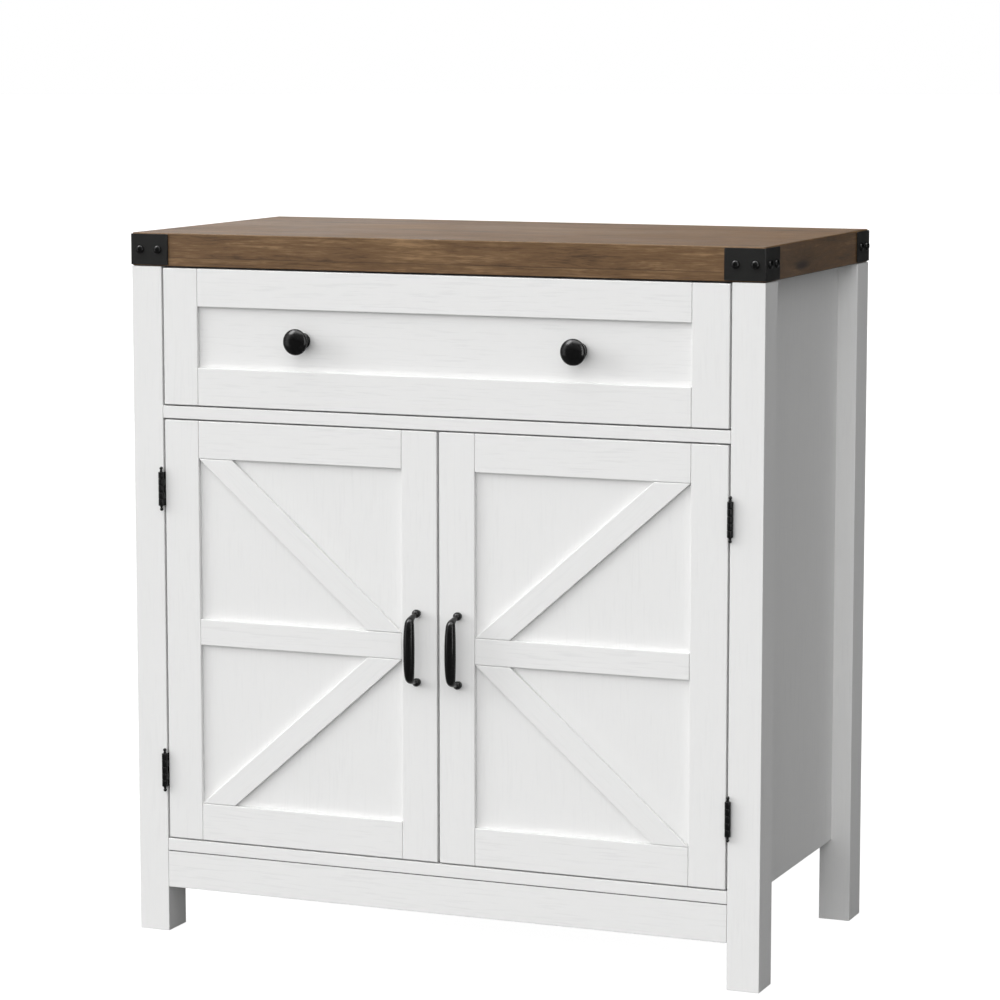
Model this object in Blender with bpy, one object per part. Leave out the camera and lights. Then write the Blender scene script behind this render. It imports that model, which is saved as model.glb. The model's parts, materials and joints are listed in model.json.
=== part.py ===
"""Sideboard buffet: one wide drawer over a two-door cupboard, on four square posts.

Units are metres and +Z is up. The front of the sideboard faces -Y, its width runs along X,
and the feet stand on z = 0. The whole outline, pulls and studs included, is centred on the Z axis.
"""

import math

import bmesh
import bpy
from mathutils import Vector

# Clearances
TOUCH = 0.0003            # left between two pieces that touch
REVEAL = 0.0018           # above and below the doors and the drawer front
HINGE_REVEAL = 0.0025     # between a post and the door or drawer front beside it
CENTRE_REVEAL = 0.0030    # between the two doors

# Overall sizes, measured on the outer faces of the posts
WIDTH = 0.800
DEPTH = 0.406
HEIGHT = 0.857

# Carcass
TOP_THICKNESS = 0.040
TOP_SETBACK = 0.0008      # the worktop's edges behind the posts' outer faces
POST_WIDTH = 0.0395       # along X
POST_DEPTH = 0.045        # along Y
PANEL_THICKNESS = 0.015
BOARD_THICKNESS = 0.015
APRON_CLEARANCE = 0.0555  # floor to the underside of the apron
APRON_HEIGHT = 0.0455
REAR_RAIL_HEIGHT = 0.060
BACK_THICKNESS = 0.003
BACK_SETBACK = 0.005      # the back panel's face in front of the rear posts' rear faces
SHELF_SETBACK = 0.030     # the shelf's front edge behind the doors
SHELF_CLEARANCE = 0.0015
SHELF_CENTRE_SHARE = 0.5  # the shelf's place between the cupboard's floor and ceiling
BOARD_EDGE = 0.0007       # softened edge of the laminated boards
TOP_EDGE = 0.0012

# Doors and drawer front: a flat panel with frame strips laid on it
DOOR_PANEL = 0.012
FRAME_DEPTH = 0.006       # how far the strips stand forward of the panel
STILE_WIDTH = 0.045
RAIL_HEIGHT = 0.0455
MID_RAIL_HEIGHT = 0.0315
BRACE_CUT = 0.044         # length of a brace's level end cut
FRAME_EDGE = 0.0009
DRAWER_FRONT_HEIGHT = 0.1643

# Drawer box
BOX_SIDE = 0.012
BOX_HEIGHT = 0.100
BOX_DEPTH = 0.350
BOX_LIFT = 0.014          # box underside above the drawer front's lower edge
BOX_BOTTOM = 0.005
GROOVE_DEPTH = 0.006
GROOVE_LIFT = 0.010       # lower edge of the box sides to the groove that holds the bottom

# Side-mounted slides
SLIDE_SPACE = 0.0127      # between a side panel and the drawer box
SLIDE_HEIGHT = 0.035
SLIDE_METAL = 0.0012
SLIDE_LENGTH = 0.345
SLIDE_SETBACK = 0.024     # front end of the slides behind the front face
SLIDE_CHANNEL = 0.0090    # depth of the cabinet member's channel
SLIDE_BALL = 0.0030       # room for the balls between the two members

# Corner brackets and their domed studs
BRACKET_LEG = 0.050
BRACKET_METAL = 0.0015
BRACKET_HEIGHT = 0.037
BRACKET_BEND = 0.0022     # outside radius of the bend
STUD_RADIUS = 0.0050
STUD_HEIGHT = 0.0035
STUD_RIM_SHARE = 0.35      # share of a stud's height that is its straight rim
STUD_PLACES = (0.0130, 0.0365)   # from the corner, along each leg

# Hinges: a leaf on the post that carries the pin, and a leaf on the door's edge
HINGE_HEIGHT = 0.041
KNUCKLES = 5
KNUCKLE_RADIUS = 0.0036
PIN_RADIUS = 0.0015
BORE_RADIUS = 0.0018
LEAF_METAL = 0.0008
LEAF_WIDTH = 0.020        # along the door's edge, from its front face
FINIAL_HEIGHT = 0.0065
FINIAL_RADIUS = 0.0021
HINGE_INSET = 0.0840      # door's top or bottom edge to the hinge's centre
KNUCKLE_GAP = 0.0003
LEAF_INSIDE = 0.0035      # hinge axis to the door leaf's outer face, just inside the knuckle

# Bow handles, upright on the doors' meeting stiles
HANDLE_SPAN = 0.082       # between the centres of the two feet
HANDLE_INSET = 0.0248     # from the door's meeting edge
HANDLE_REACH = 0.0255     # door face to the grip's centre line
GRIP_HALF_WIDTH = 0.0067
GRIP_HALF_DEPTH = 0.0055
ARM_RADIUS = 0.0036
FOOT_RADIUS = 0.0050
HANDLE_BOW = (             # shares of the reach and of half the span, from a foot to the grip's middle
    (0.16, 1.0), (0.40, 0.965), (0.68, 0.875), (0.87, 0.75), (0.955, 0.60), (0.99, 0.32), (1.0, 0.0))
HANDLE_SWELL = (0.0, 0.05, 0.2, 0.42, 0.65, 0.92, 1.0)   # from the arm's section to the grip's

# Round knobs on the drawer
KNOB_RADIUS = 0.0156
KNOB_REACH = 0.0285
KNOB_BASE_RADIUS = 0.0096
KNOB_NECK_RADIUS = 0.0055
KNOB_BASE_HEIGHT = 0.0022
KNOB_HEAD_HEIGHT = 0.0100
KNOB_RIM_RADIUS = 0.0032
KNOB_SPREAD = 0.3508      # between the two knobs

# Magnetic catch under the divider
CATCH_SIZE = (0.046, 0.014, 0.015)
CATCH_GAP = 0.0016        # leaves room for the strike plates on the doors

# Places that follow from the sizes above
BRACKET_PROUD = TOUCH + BRACKET_METAL - TOP_SETBACK
FRONT_REACH = TOUCH + HANDLE_REACH + GRIP_HALF_DEPTH
REAR_REACH = BRACKET_PROUD + STUD_HEIGHT
FRONT = (FRONT_REACH - REAR_REACH - DEPTH) / 2
REAR = FRONT + DEPTH
HALF_WIDTH = WIDTH / 2
INNER_HALF = HALF_WIDTH - POST_WIDTH
TOP_LOW = HEIGHT - TOP_THICKNESS
BOARD_LOW = APRON_CLEARANCE + APRON_HEIGHT + TOUCH
BOARD_HIGH = BOARD_LOW + BOARD_THICKNESS
DRAWER_HIGH = TOP_LOW - REVEAL
DRAWER_LOW = DRAWER_HIGH - DRAWER_FRONT_HEIGHT
DIVIDER_HIGH = DRAWER_LOW - REVEAL
DIVIDER_LOW = DIVIDER_HIGH - BOARD_THICKNESS
DOOR_LOW = BOARD_HIGH + REVEAL
DOOR_HIGH = DIVIDER_LOW - REVEAL
DOOR_THICKNESS = DOOR_PANEL + FRAME_DEPTH
DOOR_EDGE = INNER_HALF - HINGE_REVEAL
PANEL_FRONT = FRONT + FRAME_DEPTH
BACK_FRONT = REAR - BACK_SETBACK - BACK_THICKNESS
AXIS_X = DOOR_EDGE + TOUCH + LEAF_INSIDE
AXIS_Y = FRONT - KNUCKLE_RADIUS - TOUCH
FRAME_BACK = PANEL_FRONT - TOUCH
DOOR_BACK = FRONT + DOOR_THICKNESS

# name: (base colour, roughness, metallic)
FINISHES = {
    "white_laminate": ((0.80, 0.80, 0.79), 0.55, 0.0),
    "oak_laminate": ((0.19, 0.11, 0.06), 0.50, 0.0),
    "bracket_metal": ((0.030, 0.031, 0.032), 0.55, 0.0),
    "black_hardware": ((0.012, 0.012, 0.012), 0.32, 0.0),
    "zinc_steel": ((0.55, 0.56, 0.57), 0.32, 1.0),
    "hardboard": ((0.74, 0.74, 0.72), 0.70, 0.0),
    "box_laminate": ((0.72, 0.72, 0.71), 0.60, 0.0),
    "catch_plastic": ((0.62, 0.62, 0.60), 0.45, 0.0),
}


def make_materials():
    """Make one Principled material for each finish and return them by name."""
    materials = {}
    for name, (colour, roughness, metallic) in FINISHES.items():
        material = bpy.data.materials.new(name)
        material.use_nodes = True
        shader = material.node_tree.nodes["Principled BSDF"]
        shader.inputs["Base Color"].default_value = (*colour, 1.0)
        shader.inputs["Roughness"].default_value = roughness
        shader.inputs["Metallic"].default_value = metallic
        material.diffuse_color = (*colour, 1.0)
        materials[name] = material
    return materials


def add_object(name, mesh, place, finish, parent=None):
    """Link a mesh as an object at a world place, kept under its parent's axis."""
    obj = bpy.data.objects.new(name, mesh)
    bpy.context.scene.collection.objects.link(obj)
    if parent:
        obj.parent = parent
        place = Vector(place) - parent.location
    obj.location = place
    if finish:
        mesh.materials.append(MATERIALS[finish])
    return obj


def soften(obj, width, segments=2):
    """Round an object's sharp edges with a Bevel modifier."""
    bevel = obj.modifiers.new("soft_edges", "BEVEL")
    bevel.width = width
    bevel.segments = segments
    bevel.limit_method = "ANGLE"
    bevel.angle_limit = math.radians(40)


def add_box(name, low, high, finish, parent=None, edge=BOARD_EDGE):
    """Add a board between two corners, with softened edges."""
    low, high = Vector(low), Vector(high)
    size = high - low
    bm = bmesh.new()
    bmesh.ops.create_cube(bm, size=1.0)
    bmesh.ops.scale(bm, vec=size, verts=bm.verts)
    obj = add_object(name, mesh_from(bm, name), (low + high) / 2, finish, parent)
    if edge:
        soften(obj, min(edge, min(size) / 3))
    return obj


def mesh_from(bm, name, smooth_angle=None):
    """Turn a bmesh into a mesh with outward normals, smooth below the given angle."""
    bmesh.ops.remove_doubles(bm, verts=bm.verts, dist=1e-7)
    bmesh.ops.recalc_face_normals(bm, faces=bm.faces)
    mesh = bpy.data.meshes.new(name)
    bm.to_mesh(mesh)
    bm.free()
    if smooth_angle:
        mesh.shade_smooth()
        mesh.set_sharp_from_angle(angle=math.radians(smooth_angle))
    return mesh


def extrude_outline(bm, outline, axis, low, high):
    """Extrude a closed outline along X, Y or Z between two planes, in world places."""
    def point(pair, depth):
        first, second = pair
        return {"X": (depth, first, second), "Y": (first, depth, second), "Z": (first, second, depth)}[axis]

    face = bm.faces.new([bm.verts.new(point(pair, low)) for pair in outline])
    grown = bmesh.ops.extrude_face_region(bm, geom=[face])["geom"]
    moved = [item for item in grown if isinstance(item, bmesh.types.BMVert)]
    shift = Vector(point((0.0, 0.0), high - low))
    bmesh.ops.translate(bm, vec=shift, verts=moved)


def add_profile(name, outline, axis, low, high, finish, parent=None, edge=0.0):
    """Add a piece of constant section, with its origin in its middle."""
    bm = bmesh.new()
    extrude_outline(bm, outline, axis, low, high)
    corners = [vert.co.copy() for vert in bm.verts]
    middle = Vector([(min(c[i] for c in corners) + max(c[i] for c in corners)) / 2 for i in range(3)])
    bmesh.ops.translate(bm, vec=-middle, verts=bm.verts)
    obj = add_object(name, mesh_from(bm, name), middle, finish, parent)
    if edge:
        soften(obj, edge)
    return obj


def spin_profile(bm, profile, steps):
    """Turn (radius, height) points around Z into a closed surface."""
    verts = [bm.verts.new((radius, 0.0, height)) for radius, height in profile]
    edges = [bm.edges.new(pair) for pair in zip(verts, verts[1:])]
    bmesh.ops.spin(bm, geom=verts + edges, cent=(0, 0, 0), axis=(0, 0, 1),
                   angle=math.tau, steps=steps, use_merge=True)


def arc(centre, radius, start, end, steps):
    """Points on an arc in the (radius, height) plane, angles in degrees."""
    points = []
    for step in range(steps + 1):
        angle = math.radians(start + (end - start) * step / steps)
        points.append((centre[0] + radius * math.cos(angle), centre[1] + radius * math.sin(angle)))
    return points


def join_to(obj, operand, name):
    """Join an operand to an object with a Boolean union and hide the operand."""
    operand.hide_render = True
    operand.display_type = "WIRE"
    union = obj.modifiers.new(name, "BOOLEAN")
    union.operation = "UNION"
    union.object = operand


def axis_empty(name, place):
    """Add an empty on a joint's axis for the moving pieces to hang from."""
    empty = bpy.data.objects.new(name, None)
    empty.empty_display_size = 0.03
    bpy.context.scene.collection.objects.link(empty)
    empty.location = place
    return empty


def build_carcass():
    """Worktop, posts, side panels, boards, apron, rear rail, back and shelf."""
    inset = TOP_SETBACK
    add_box("worktop", (-HALF_WIDTH + inset, FRONT + inset, TOP_LOW),
            (HALF_WIDTH - inset, REAR - inset, HEIGHT), "oak_laminate", edge=TOP_EDGE)
    for side, word in ((-1, "left"), (1, "right")):
        outer, inner = side * HALF_WIDTH, side * INNER_HALF
        left, right = min(outer, inner), max(outer, inner)
        for name, y_low, y_high in (("front", FRONT, FRONT + POST_DEPTH), ("rear", REAR - POST_DEPTH, REAR)):
            add_box(f"post_{name}_{word}", (left, y_low, 0.0), (right, y_high, TOP_LOW - TOUCH), "white_laminate")
        panel_outer = side * (INNER_HALF + PANEL_THICKNESS)
        add_box(f"side_panel_{word}",
                (min(inner, panel_outer), FRONT + POST_DEPTH + TOUCH, BOARD_LOW),
                (max(inner, panel_outer), REAR - POST_DEPTH - TOUCH, TOP_LOW - TOUCH), "white_laminate")
    span = INNER_HALF - TOUCH
    add_box("bottom_board", (-span, FRONT, BOARD_LOW), (span, BACK_FRONT - TOUCH, BOARD_HIGH), "white_laminate")
    add_box("divider_board", (-span, FRONT, DIVIDER_LOW), (span, BACK_FRONT - TOUCH, DIVIDER_HIGH),
            "white_laminate")
    add_box("apron_front", (-span, FRONT, APRON_CLEARANCE),
            (span, FRONT + BOARD_THICKNESS, APRON_CLEARANCE + APRON_HEIGHT), "white_laminate")
    add_box("rear_rail", (-span, BACK_FRONT - TOUCH - BOARD_THICKNESS, TOP_LOW - TOUCH - REAR_RAIL_HEIGHT),
            (span, BACK_FRONT - TOUCH, TOP_LOW - TOUCH), "white_laminate")
    add_box("back_panel", (-span, BACK_FRONT, BOARD_LOW),
            (span, BACK_FRONT + BACK_THICKNESS, TOP_LOW - TOUCH), "hardboard", edge=0.0)
    shelf_low = BOARD_HIGH + (DIVIDER_LOW - BOARD_HIGH) * SHELF_CENTRE_SHARE - BOARD_THICKNESS / 2
    shelf_span = INNER_HALF - SHELF_CLEARANCE
    add_box("shelf", (-shelf_span, DOOR_BACK + SHELF_SETBACK, shelf_low),
            (shelf_span, BACK_FRONT - SHELF_CLEARANCE, shelf_low + BOARD_THICKNESS), "white_laminate")


def build_bracket(name, side, end):
    """One L-shaped corner bracket; side is -1 or 1 along X and end is -1 (front) or 1 along Y."""
    corner_x = side * (HALF_WIDTH + BRACKET_PROUD)
    corner_y = FRONT - BRACKET_PROUD if end < 0 else REAR + BRACKET_PROUD
    middle_z = TOP_LOW + TOP_THICKNESS / 2
    metal, leg, bend = BRACKET_METAL, BRACKET_LEG, BRACKET_BEND
    outer_bend = [(bend - bend * math.cos(math.radians(a)), bend - bend * math.sin(math.radians(a)))
                  for a in (0, 22.5, 45, 67.5, 90)]
    outline = [(metal, leg), (0.0, leg)] + outer_bend + [(leg, 0.0), (leg, metal), (metal, metal)]
    placed = [(corner_x - side * u, corner_y - end * v) for u, v in outline]
    bracket = add_profile(name, placed, "Z", middle_z - BRACKET_HEIGHT / 2, middle_z + BRACKET_HEIGHT / 2,
                          "bracket_metal")
    studs = bmesh.new()
    dome = 1.0 - STUD_RIM_SHARE
    for place in STUD_PLACES:
        for face in ("X", "Y"):
            stud = bmesh.new()
            profile = [(0.0, -metal / 2), (STUD_RADIUS, -metal / 2), (STUD_RADIUS, STUD_HEIGHT * STUD_RIM_SHARE)]
            profile += [(STUD_RADIUS * math.cos(math.radians(a)),
                         STUD_HEIGHT * (STUD_RIM_SHARE + dome * math.sin(math.radians(a)))) for a in (30, 60)]
            profile.append((0.0, STUD_HEIGHT))
            spin_profile(stud, profile, 16)
            lay_stud(stud, face, side, end, place)
            append_bmesh(studs, stud)
    stud_obj = add_object(f"{name}_studs", mesh_from(studs, f"{name}_studs"),
                          (corner_x, corner_y, middle_z), "bracket_metal")
    join_to(bracket, stud_obj, "studs")


def lay_stud(stud, face, side, end, place):
    """Turn one stud from +Z to point out of its leg and move it along the leg."""
    outward = Vector((side, 0, 0)) if face == "X" else Vector((0, end, 0))
    along = Vector((0, -end, 0)) if face == "X" else Vector((-side, 0, 0))
    turn = Vector((0, 0, 1)).rotation_difference(outward)
    bmesh.ops.rotate(stud, cent=(0, 0, 0), matrix=turn.to_matrix(), verts=stud.verts)
    bmesh.ops.translate(stud, vec=along * place, verts=stud.verts)


def append_bmesh(target, source):
    """Copy one bmesh's faces into another and free the source."""
    mesh = bpy.data.meshes.new("loose")
    bmesh.ops.recalc_face_normals(source, faces=source.faces)
    source.to_mesh(mesh)
    source.free()
    target.from_mesh(mesh)
    bpy.data.meshes.remove(mesh)


def knuckle_spans():
    """Low and high ends of each knuckle, from the hinge's lower end."""
    length = (HINGE_HEIGHT - (KNUCKLES - 1) * KNUCKLE_GAP) / KNUCKLES
    return [(i * (length + KNUCKLE_GAP), i * (length + KNUCKLE_GAP) + length) for i in range(KNUCKLES)]


def comb_outline(own):
    """Outline of a leaf in (depth, height): tabs reach the axis at its own knuckles only."""
    far = FRONT + LEAF_WIDTH - AXIS_Y
    near = KNUCKLE_RADIUS + KNUCKLE_GAP
    points = [(far, 0.0), (far, HINGE_HEIGHT)]
    for index, (low, high) in reversed(list(enumerate(knuckle_spans()))):
        inner = 0.0 if index in own else near
        if index == KNUCKLES - 1:
            points.append((inner, HINGE_HEIGHT))
        else:
            points.append((inner, high if index in own else high + KNUCKLE_GAP))
        if index == 0:
            points.append((inner, 0.0))
        else:
            points.append((inner, low if index in own else low - KNUCKLE_GAP))
    return points


def build_hinge(word, side, level, centre_z, door_axis):
    """The two leaves of one hinge; the post leaf carries the pin and its finials."""
    low_z = centre_z - HINGE_HEIGHT / 2
    spans = knuckle_spans()
    post_own = [i for i in range(KNUCKLES) if i % 2 == 0]
    door_own = [i for i in range(KNUCKLES) if i % 2 == 1]

    def leaf(name, own, x_near, parent):
        outline = [(AXIS_Y + depth, low_z + height) for depth, height in comb_outline(own)]
        x_low, x_high = sorted((side * x_near, side * (x_near + LEAF_METAL)))
        return add_profile(name, outline, "X", x_low, x_high, "black_hardware", parent)

    door_near = DOOR_EDGE + TOUCH
    post_near = INNER_HALF - TOUCH - LEAF_METAL
    post_leaf = leaf(f"hinge_{word}_{level}_post_leaf", post_own, post_near, None)
    door_leaf = leaf(f"hinge_{word}_{level}_door_leaf", door_own, door_near, door_axis)

    profile = [(0.0, -FINIAL_HEIGHT)]
    profile += arc((0.0, -FINIAL_HEIGHT + FINIAL_RADIUS), FINIAL_RADIUS, -60, 50, 4)
    profile += [(PIN_RADIUS, -FINIAL_HEIGHT + 2 * FINIAL_RADIUS), (PIN_RADIUS * 1.2, 0.0)]
    for index in post_own:
        low, high = spans[index]
        profile += [(KNUCKLE_RADIUS, low), (KNUCKLE_RADIUS, high)]
        if index != post_own[-1]:
            profile += [(PIN_RADIUS, high), (PIN_RADIUS, spans[index + 2][0])]
    top = HINGE_HEIGHT
    profile += [(PIN_RADIUS * 1.2, top), (PIN_RADIUS, top + FINIAL_HEIGHT - 2 * FINIAL_RADIUS)]
    profile += arc((0.0, top + FINIAL_HEIGHT - FINIAL_RADIUS), FINIAL_RADIUS, -50, 60, 4)
    profile.append((0.0, top + FINIAL_HEIGHT))
    bm = bmesh.new()
    spin_profile(bm, profile, 20)
    barrel = add_object(f"{post_leaf.name}_barrel", mesh_from(bm, "hinge_barrel", 35),
                        (side * AXIS_X, AXIS_Y, low_z), "black_hardware")
    join_to(post_leaf, barrel, "barrel")

    rings = bmesh.new()
    for index in door_own:
        low, high = spans[index]
        ring = bmesh.new()
        spin_profile(ring, [(BORE_RADIUS, low), (KNUCKLE_RADIUS, low), (KNUCKLE_RADIUS, high),
                            (BORE_RADIUS, high), (BORE_RADIUS, low)], 20)
        bmesh.ops.remove_doubles(ring, verts=ring.verts, dist=1e-7)
        append_bmesh(rings, ring)
    knuckles = add_object(f"{door_leaf.name}_knuckles", mesh_from(rings, "hinge_knuckles", 35),
                          (side * AXIS_X, AXIS_Y, low_z), "black_hardware", door_axis)
    join_to(door_leaf, knuckles, "knuckles")


def build_door(word, side):
    """One door: panel, frame strips, two braces, handle and its hinges' leaves."""
    hinge_x, latch_x = side * DOOR_EDGE, side * CENTRE_REVEAL / 2
    axis = axis_empty(f"door_{word}_axis", (side * AXIS_X, AXIS_Y, DOOR_LOW))
    name = f"door_{word}"

    def board(piece, x_one, x_two, z_low, z_high, y_low, y_high):
        add_box(f"{name}_{piece}", (min(x_one, x_two), y_low, z_low), (max(x_one, x_two), y_high, z_high),
                "white_laminate", axis, FRAME_EDGE)

    board("panel", hinge_x, latch_x, DOOR_LOW, DOOR_HIGH, PANEL_FRONT, DOOR_BACK)
    hinge_inner = side * (DOOR_EDGE - STILE_WIDTH)
    latch_inner = side * (CENTRE_REVEAL / 2 + STILE_WIDTH)
    board("stile_hinge", hinge_x, hinge_inner, DOOR_LOW, DOOR_HIGH, FRONT, FRAME_BACK)
    board("stile_latch", latch_x, latch_inner, DOOR_LOW, DOOR_HIGH, FRONT, FRAME_BACK)
    rail_one, rail_two = hinge_inner - side * TOUCH, latch_inner + side * TOUCH
    middle = (DOOR_LOW + DOOR_HIGH) / 2
    rails = {
        "rail_top": (DOOR_HIGH - RAIL_HEIGHT, DOOR_HIGH),
        "rail_mid": (middle - MID_RAIL_HEIGHT / 2, middle + MID_RAIL_HEIGHT / 2),
        "rail_bottom": (DOOR_LOW, DOOR_LOW + RAIL_HEIGHT),
    }
    for piece, (low, high) in rails.items():
        board(piece, rail_one, rail_two, low, high, FRONT, FRAME_BACK)
    braces = {
        "brace_upper": (rails["rail_top"][0] - TOUCH, rails["rail_mid"][1] + TOUCH),
        "brace_lower": (rails["rail_bottom"][1] + TOUCH, rails["rail_mid"][0] - TOUCH),
    }
    for piece, (hinge_z, latch_z) in braces.items():
        outline = [(rail_one, hinge_z), (rail_one - side * BRACE_CUT, hinge_z),
                   (rail_two, latch_z), (rail_two + side * BRACE_CUT, latch_z)]
        add_profile(f"{name}_{piece}", outline, "Y", FRONT, FRAME_BACK, "white_laminate", axis, FRAME_EDGE)
    build_handle(f"{name}_handle", side * (CENTRE_REVEAL / 2 + HANDLE_INSET), middle, axis)
    for level, centre_z in (("upper", DOOR_HIGH - HINGE_INSET), ("lower", DOOR_LOW + HINGE_INSET)):
        build_hinge(word, side, level, centre_z, axis)


def build_handle(name, x, z, parent):
    """A bow handle: a swollen grip swept between two round feet."""
    half = HANDLE_SPAN / 2
    path = list(HANDLE_BOW) + [(reach, -height) for reach, height in reversed(HANDLE_BOW[:-1])]
    swell = HANDLE_SWELL + tuple(reversed(HANDLE_SWELL[:-1]))
    sides = 16
    bm = bmesh.new()
    rings = []
    points = [Vector((0.0, -reach * HANDLE_REACH, height * half)) for reach, height in path]
    for index, point in enumerate(points):
        before, after = points[max(index - 1, 0)], points[min(index + 1, len(points) - 1)]
        tangent = (after - before).normalized()
        across = Vector((1.0, 0.0, 0.0))
        outward = tangent.cross(across)
        wide = ARM_RADIUS + (GRIP_HALF_WIDTH - ARM_RADIUS) * swell[index]
        deep = ARM_RADIUS + (GRIP_HALF_DEPTH - ARM_RADIUS) * swell[index]
        ring = []
        for step in range(sides):
            angle = math.tau * step / sides
            ring.append(bm.verts.new(point + across * wide * math.cos(angle) + outward * deep * math.sin(angle)))
        rings.append(ring)
    for first, second in zip(rings, rings[1:]):
        for step in range(sides):
            after = (step + 1) % sides
            bm.faces.new((first[step], first[after], second[after], second[step]))
    bm.faces.new(rings[0])
    bm.faces.new(rings[-1])
    place = (x, FRONT - TOUCH, z)
    handle = add_object(name, mesh_from(bm, name, 40), place, "black_hardware", parent)

    feet = bmesh.new()
    for sign in (-1, 1):
        foot = bmesh.new()
        profile = [(0.0, 0.0), (FOOT_RADIUS * 0.75, 0.0)]
        profile += arc((0.0, FOOT_RADIUS * 0.8), FOOT_RADIUS, -30, 75, 5)
        profile.append((0.0, FOOT_RADIUS * 1.8))
        spin_profile(foot, profile, 20)
        turn = Vector((0, 0, 1)).rotation_difference(Vector((0, -1, 0)))
        bmesh.ops.rotate(foot, cent=(0, 0, 0), matrix=turn.to_matrix(), verts=foot.verts)
        bmesh.ops.translate(foot, vec=(0.0, 0.0, sign * half), verts=foot.verts)
        append_bmesh(feet, foot)
    foot_obj = add_object(f"{name}_feet", mesh_from(feet, f"{name}_feet", 40), place, "black_hardware", parent)
    join_to(handle, foot_obj, "feet")


def build_drawer():
    """The drawer: framed front, knobs, box and the slides' moving members."""
    axis = axis_empty("drawer_axis", (0.0, FRONT, (DRAWER_LOW + DRAWER_HIGH) / 2))
    add_box("drawer_panel", (-DOOR_EDGE, PANEL_FRONT, DRAWER_LOW), (DOOR_EDGE, DOOR_BACK, DRAWER_HIGH),
            "white_laminate", axis, FRAME_EDGE)
    inner = DOOR_EDGE - STILE_WIDTH
    for word, x_low, x_high in (("left", -DOOR_EDGE, -inner), ("right", inner, DOOR_EDGE)):
        add_box(f"drawer_stile_{word}", (x_low, FRONT, DRAWER_LOW), (x_high, FRAME_BACK, DRAWER_HIGH),
                "white_laminate", axis, FRAME_EDGE)
    span = inner - TOUCH
    for word, low in (("top", DRAWER_HIGH - RAIL_HEIGHT), ("bottom", DRAWER_LOW)):
        add_box(f"drawer_rail_{word}", (-span, FRONT, low), (span, FRAME_BACK, low + RAIL_HEIGHT),
                "white_laminate", axis, FRAME_EDGE)
    build_box(axis)
    for word, side in (("left", -1), ("right", 1)):
        build_knob(f"knob_{word}", side * KNOB_SPREAD / 2, (DRAWER_LOW + DRAWER_HIGH) / 2, axis)


def build_box(axis):
    """Drawer box with a bottom held in grooves, between the two slides."""
    outer = INNER_HALF - SLIDE_SPACE
    low = DRAWER_LOW + BOX_LIFT
    y_low, y_high = DOOR_BACK + TOUCH, DOOR_BACK + BOX_DEPTH
    groove_low = low + GROOVE_LIFT
    groove_high = groove_low + BOX_BOTTOM + 2 * TOUCH
    for word, side in (("left", -1), ("right", 1)):
        inside = outer - BOX_SIDE
        outline = [(outer, low), (outer, low + BOX_HEIGHT), (inside, low + BOX_HEIGHT), (inside, groove_high),
                   (inside + GROOVE_DEPTH, groove_high), (inside + GROOVE_DEPTH, groove_low),
                   (inside, groove_low), (inside, low)]
        add_profile(f"drawer_side_{word}", [(side * x, z) for x, z in outline], "Y", y_low, y_high,
                    "box_laminate", axis)
    span = outer - BOX_SIDE - TOUCH
    add_box("drawer_back", (-span, y_high - BOX_SIDE, groove_high), (span, y_high, low + BOX_HEIGHT),
            "box_laminate", axis)
    reach = outer - BOX_SIDE + GROOVE_DEPTH - TOUCH
    add_box("drawer_bottom", (-reach, y_low, groove_low + TOUCH), (reach, y_high, groove_high - TOUCH),
            "hardboard", axis, edge=0.0)
    build_slides(axis, low + BOX_HEIGHT / 2, outer)


def build_slides(axis, centre_z, box_outer):
    """Ball-bearing slides: a channel on each side panel and a narrower one on the box."""
    metal = SLIDE_METAL
    y_low = FRONT + SLIDE_SETBACK
    for word, side in (("left", -1), ("right", 1)):
        wall = INNER_HALF - TOUCH
        tall = SLIDE_HEIGHT / 2
        outline = [(wall, -tall), (wall, tall), (wall - SLIDE_CHANNEL, tall), (wall - SLIDE_CHANNEL, tall - metal),
                   (wall - metal, tall - metal), (wall - metal, metal - tall),
                   (wall - SLIDE_CHANNEL, metal - tall), (wall - SLIDE_CHANNEL, -tall)]
        add_profile(f"slide_cabinet_{word}", [(side * x, centre_z + z) for x, z in outline], "Y",
                    y_low, y_low + SLIDE_LENGTH, "zinc_steel")
        near = box_outer + TOUCH
        far = wall - metal - SLIDE_BALL
        low = tall - metal - SLIDE_BALL
        outline = [(near, -low), (near, low), (far, low), (far, low - metal), (near + metal, low - metal),
                   (near + metal, metal - low), (far, metal - low), (far, -low)]
        add_profile(f"slide_drawer_{word}", [(side * x, centre_z + z) for x, z in outline], "Y",
                    y_low, y_low + SLIDE_LENGTH, "zinc_steel", axis)


def build_knob(name, x, z, parent):
    """A turned knob: flared base, neck and a domed mushroom head."""
    head_low = KNOB_REACH - KNOB_HEAD_HEIGHT
    profile = [(0.0, 0.0), (KNOB_BASE_RADIUS, 0.0), (KNOB_BASE_RADIUS, KNOB_BASE_HEIGHT),
               (KNOB_BASE_RADIUS - 0.0014, 0.0036), (KNOB_NECK_RADIUS + 0.0010, 0.0060),
               (KNOB_NECK_RADIUS, 0.0095), (KNOB_NECK_RADIUS + 0.0006, head_low - 0.0035),
               (KNOB_NECK_RADIUS + 0.0040, head_low - 0.0008)]
    profile += arc((KNOB_RADIUS - KNOB_RIM_RADIUS, head_low + 0.0036), KNOB_RIM_RADIUS, -70, 60, 6)
    dome_base = profile[-1]
    for share in (0.25, 0.5, 0.75):
        profile.append((dome_base[0] * (1 - share),
                        dome_base[1] + (KNOB_REACH - dome_base[1]) * math.sin(share * math.pi / 2)))
    profile.append((0.0, KNOB_REACH))
    bm = bmesh.new()
    spin_profile(bm, profile, 32)
    knob = add_object(name, mesh_from(bm, name, 35), (x, PANEL_FRONT - TOUCH, z), "black_hardware", parent)
    knob.rotation_euler = (math.radians(90), 0.0, 0.0)


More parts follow.
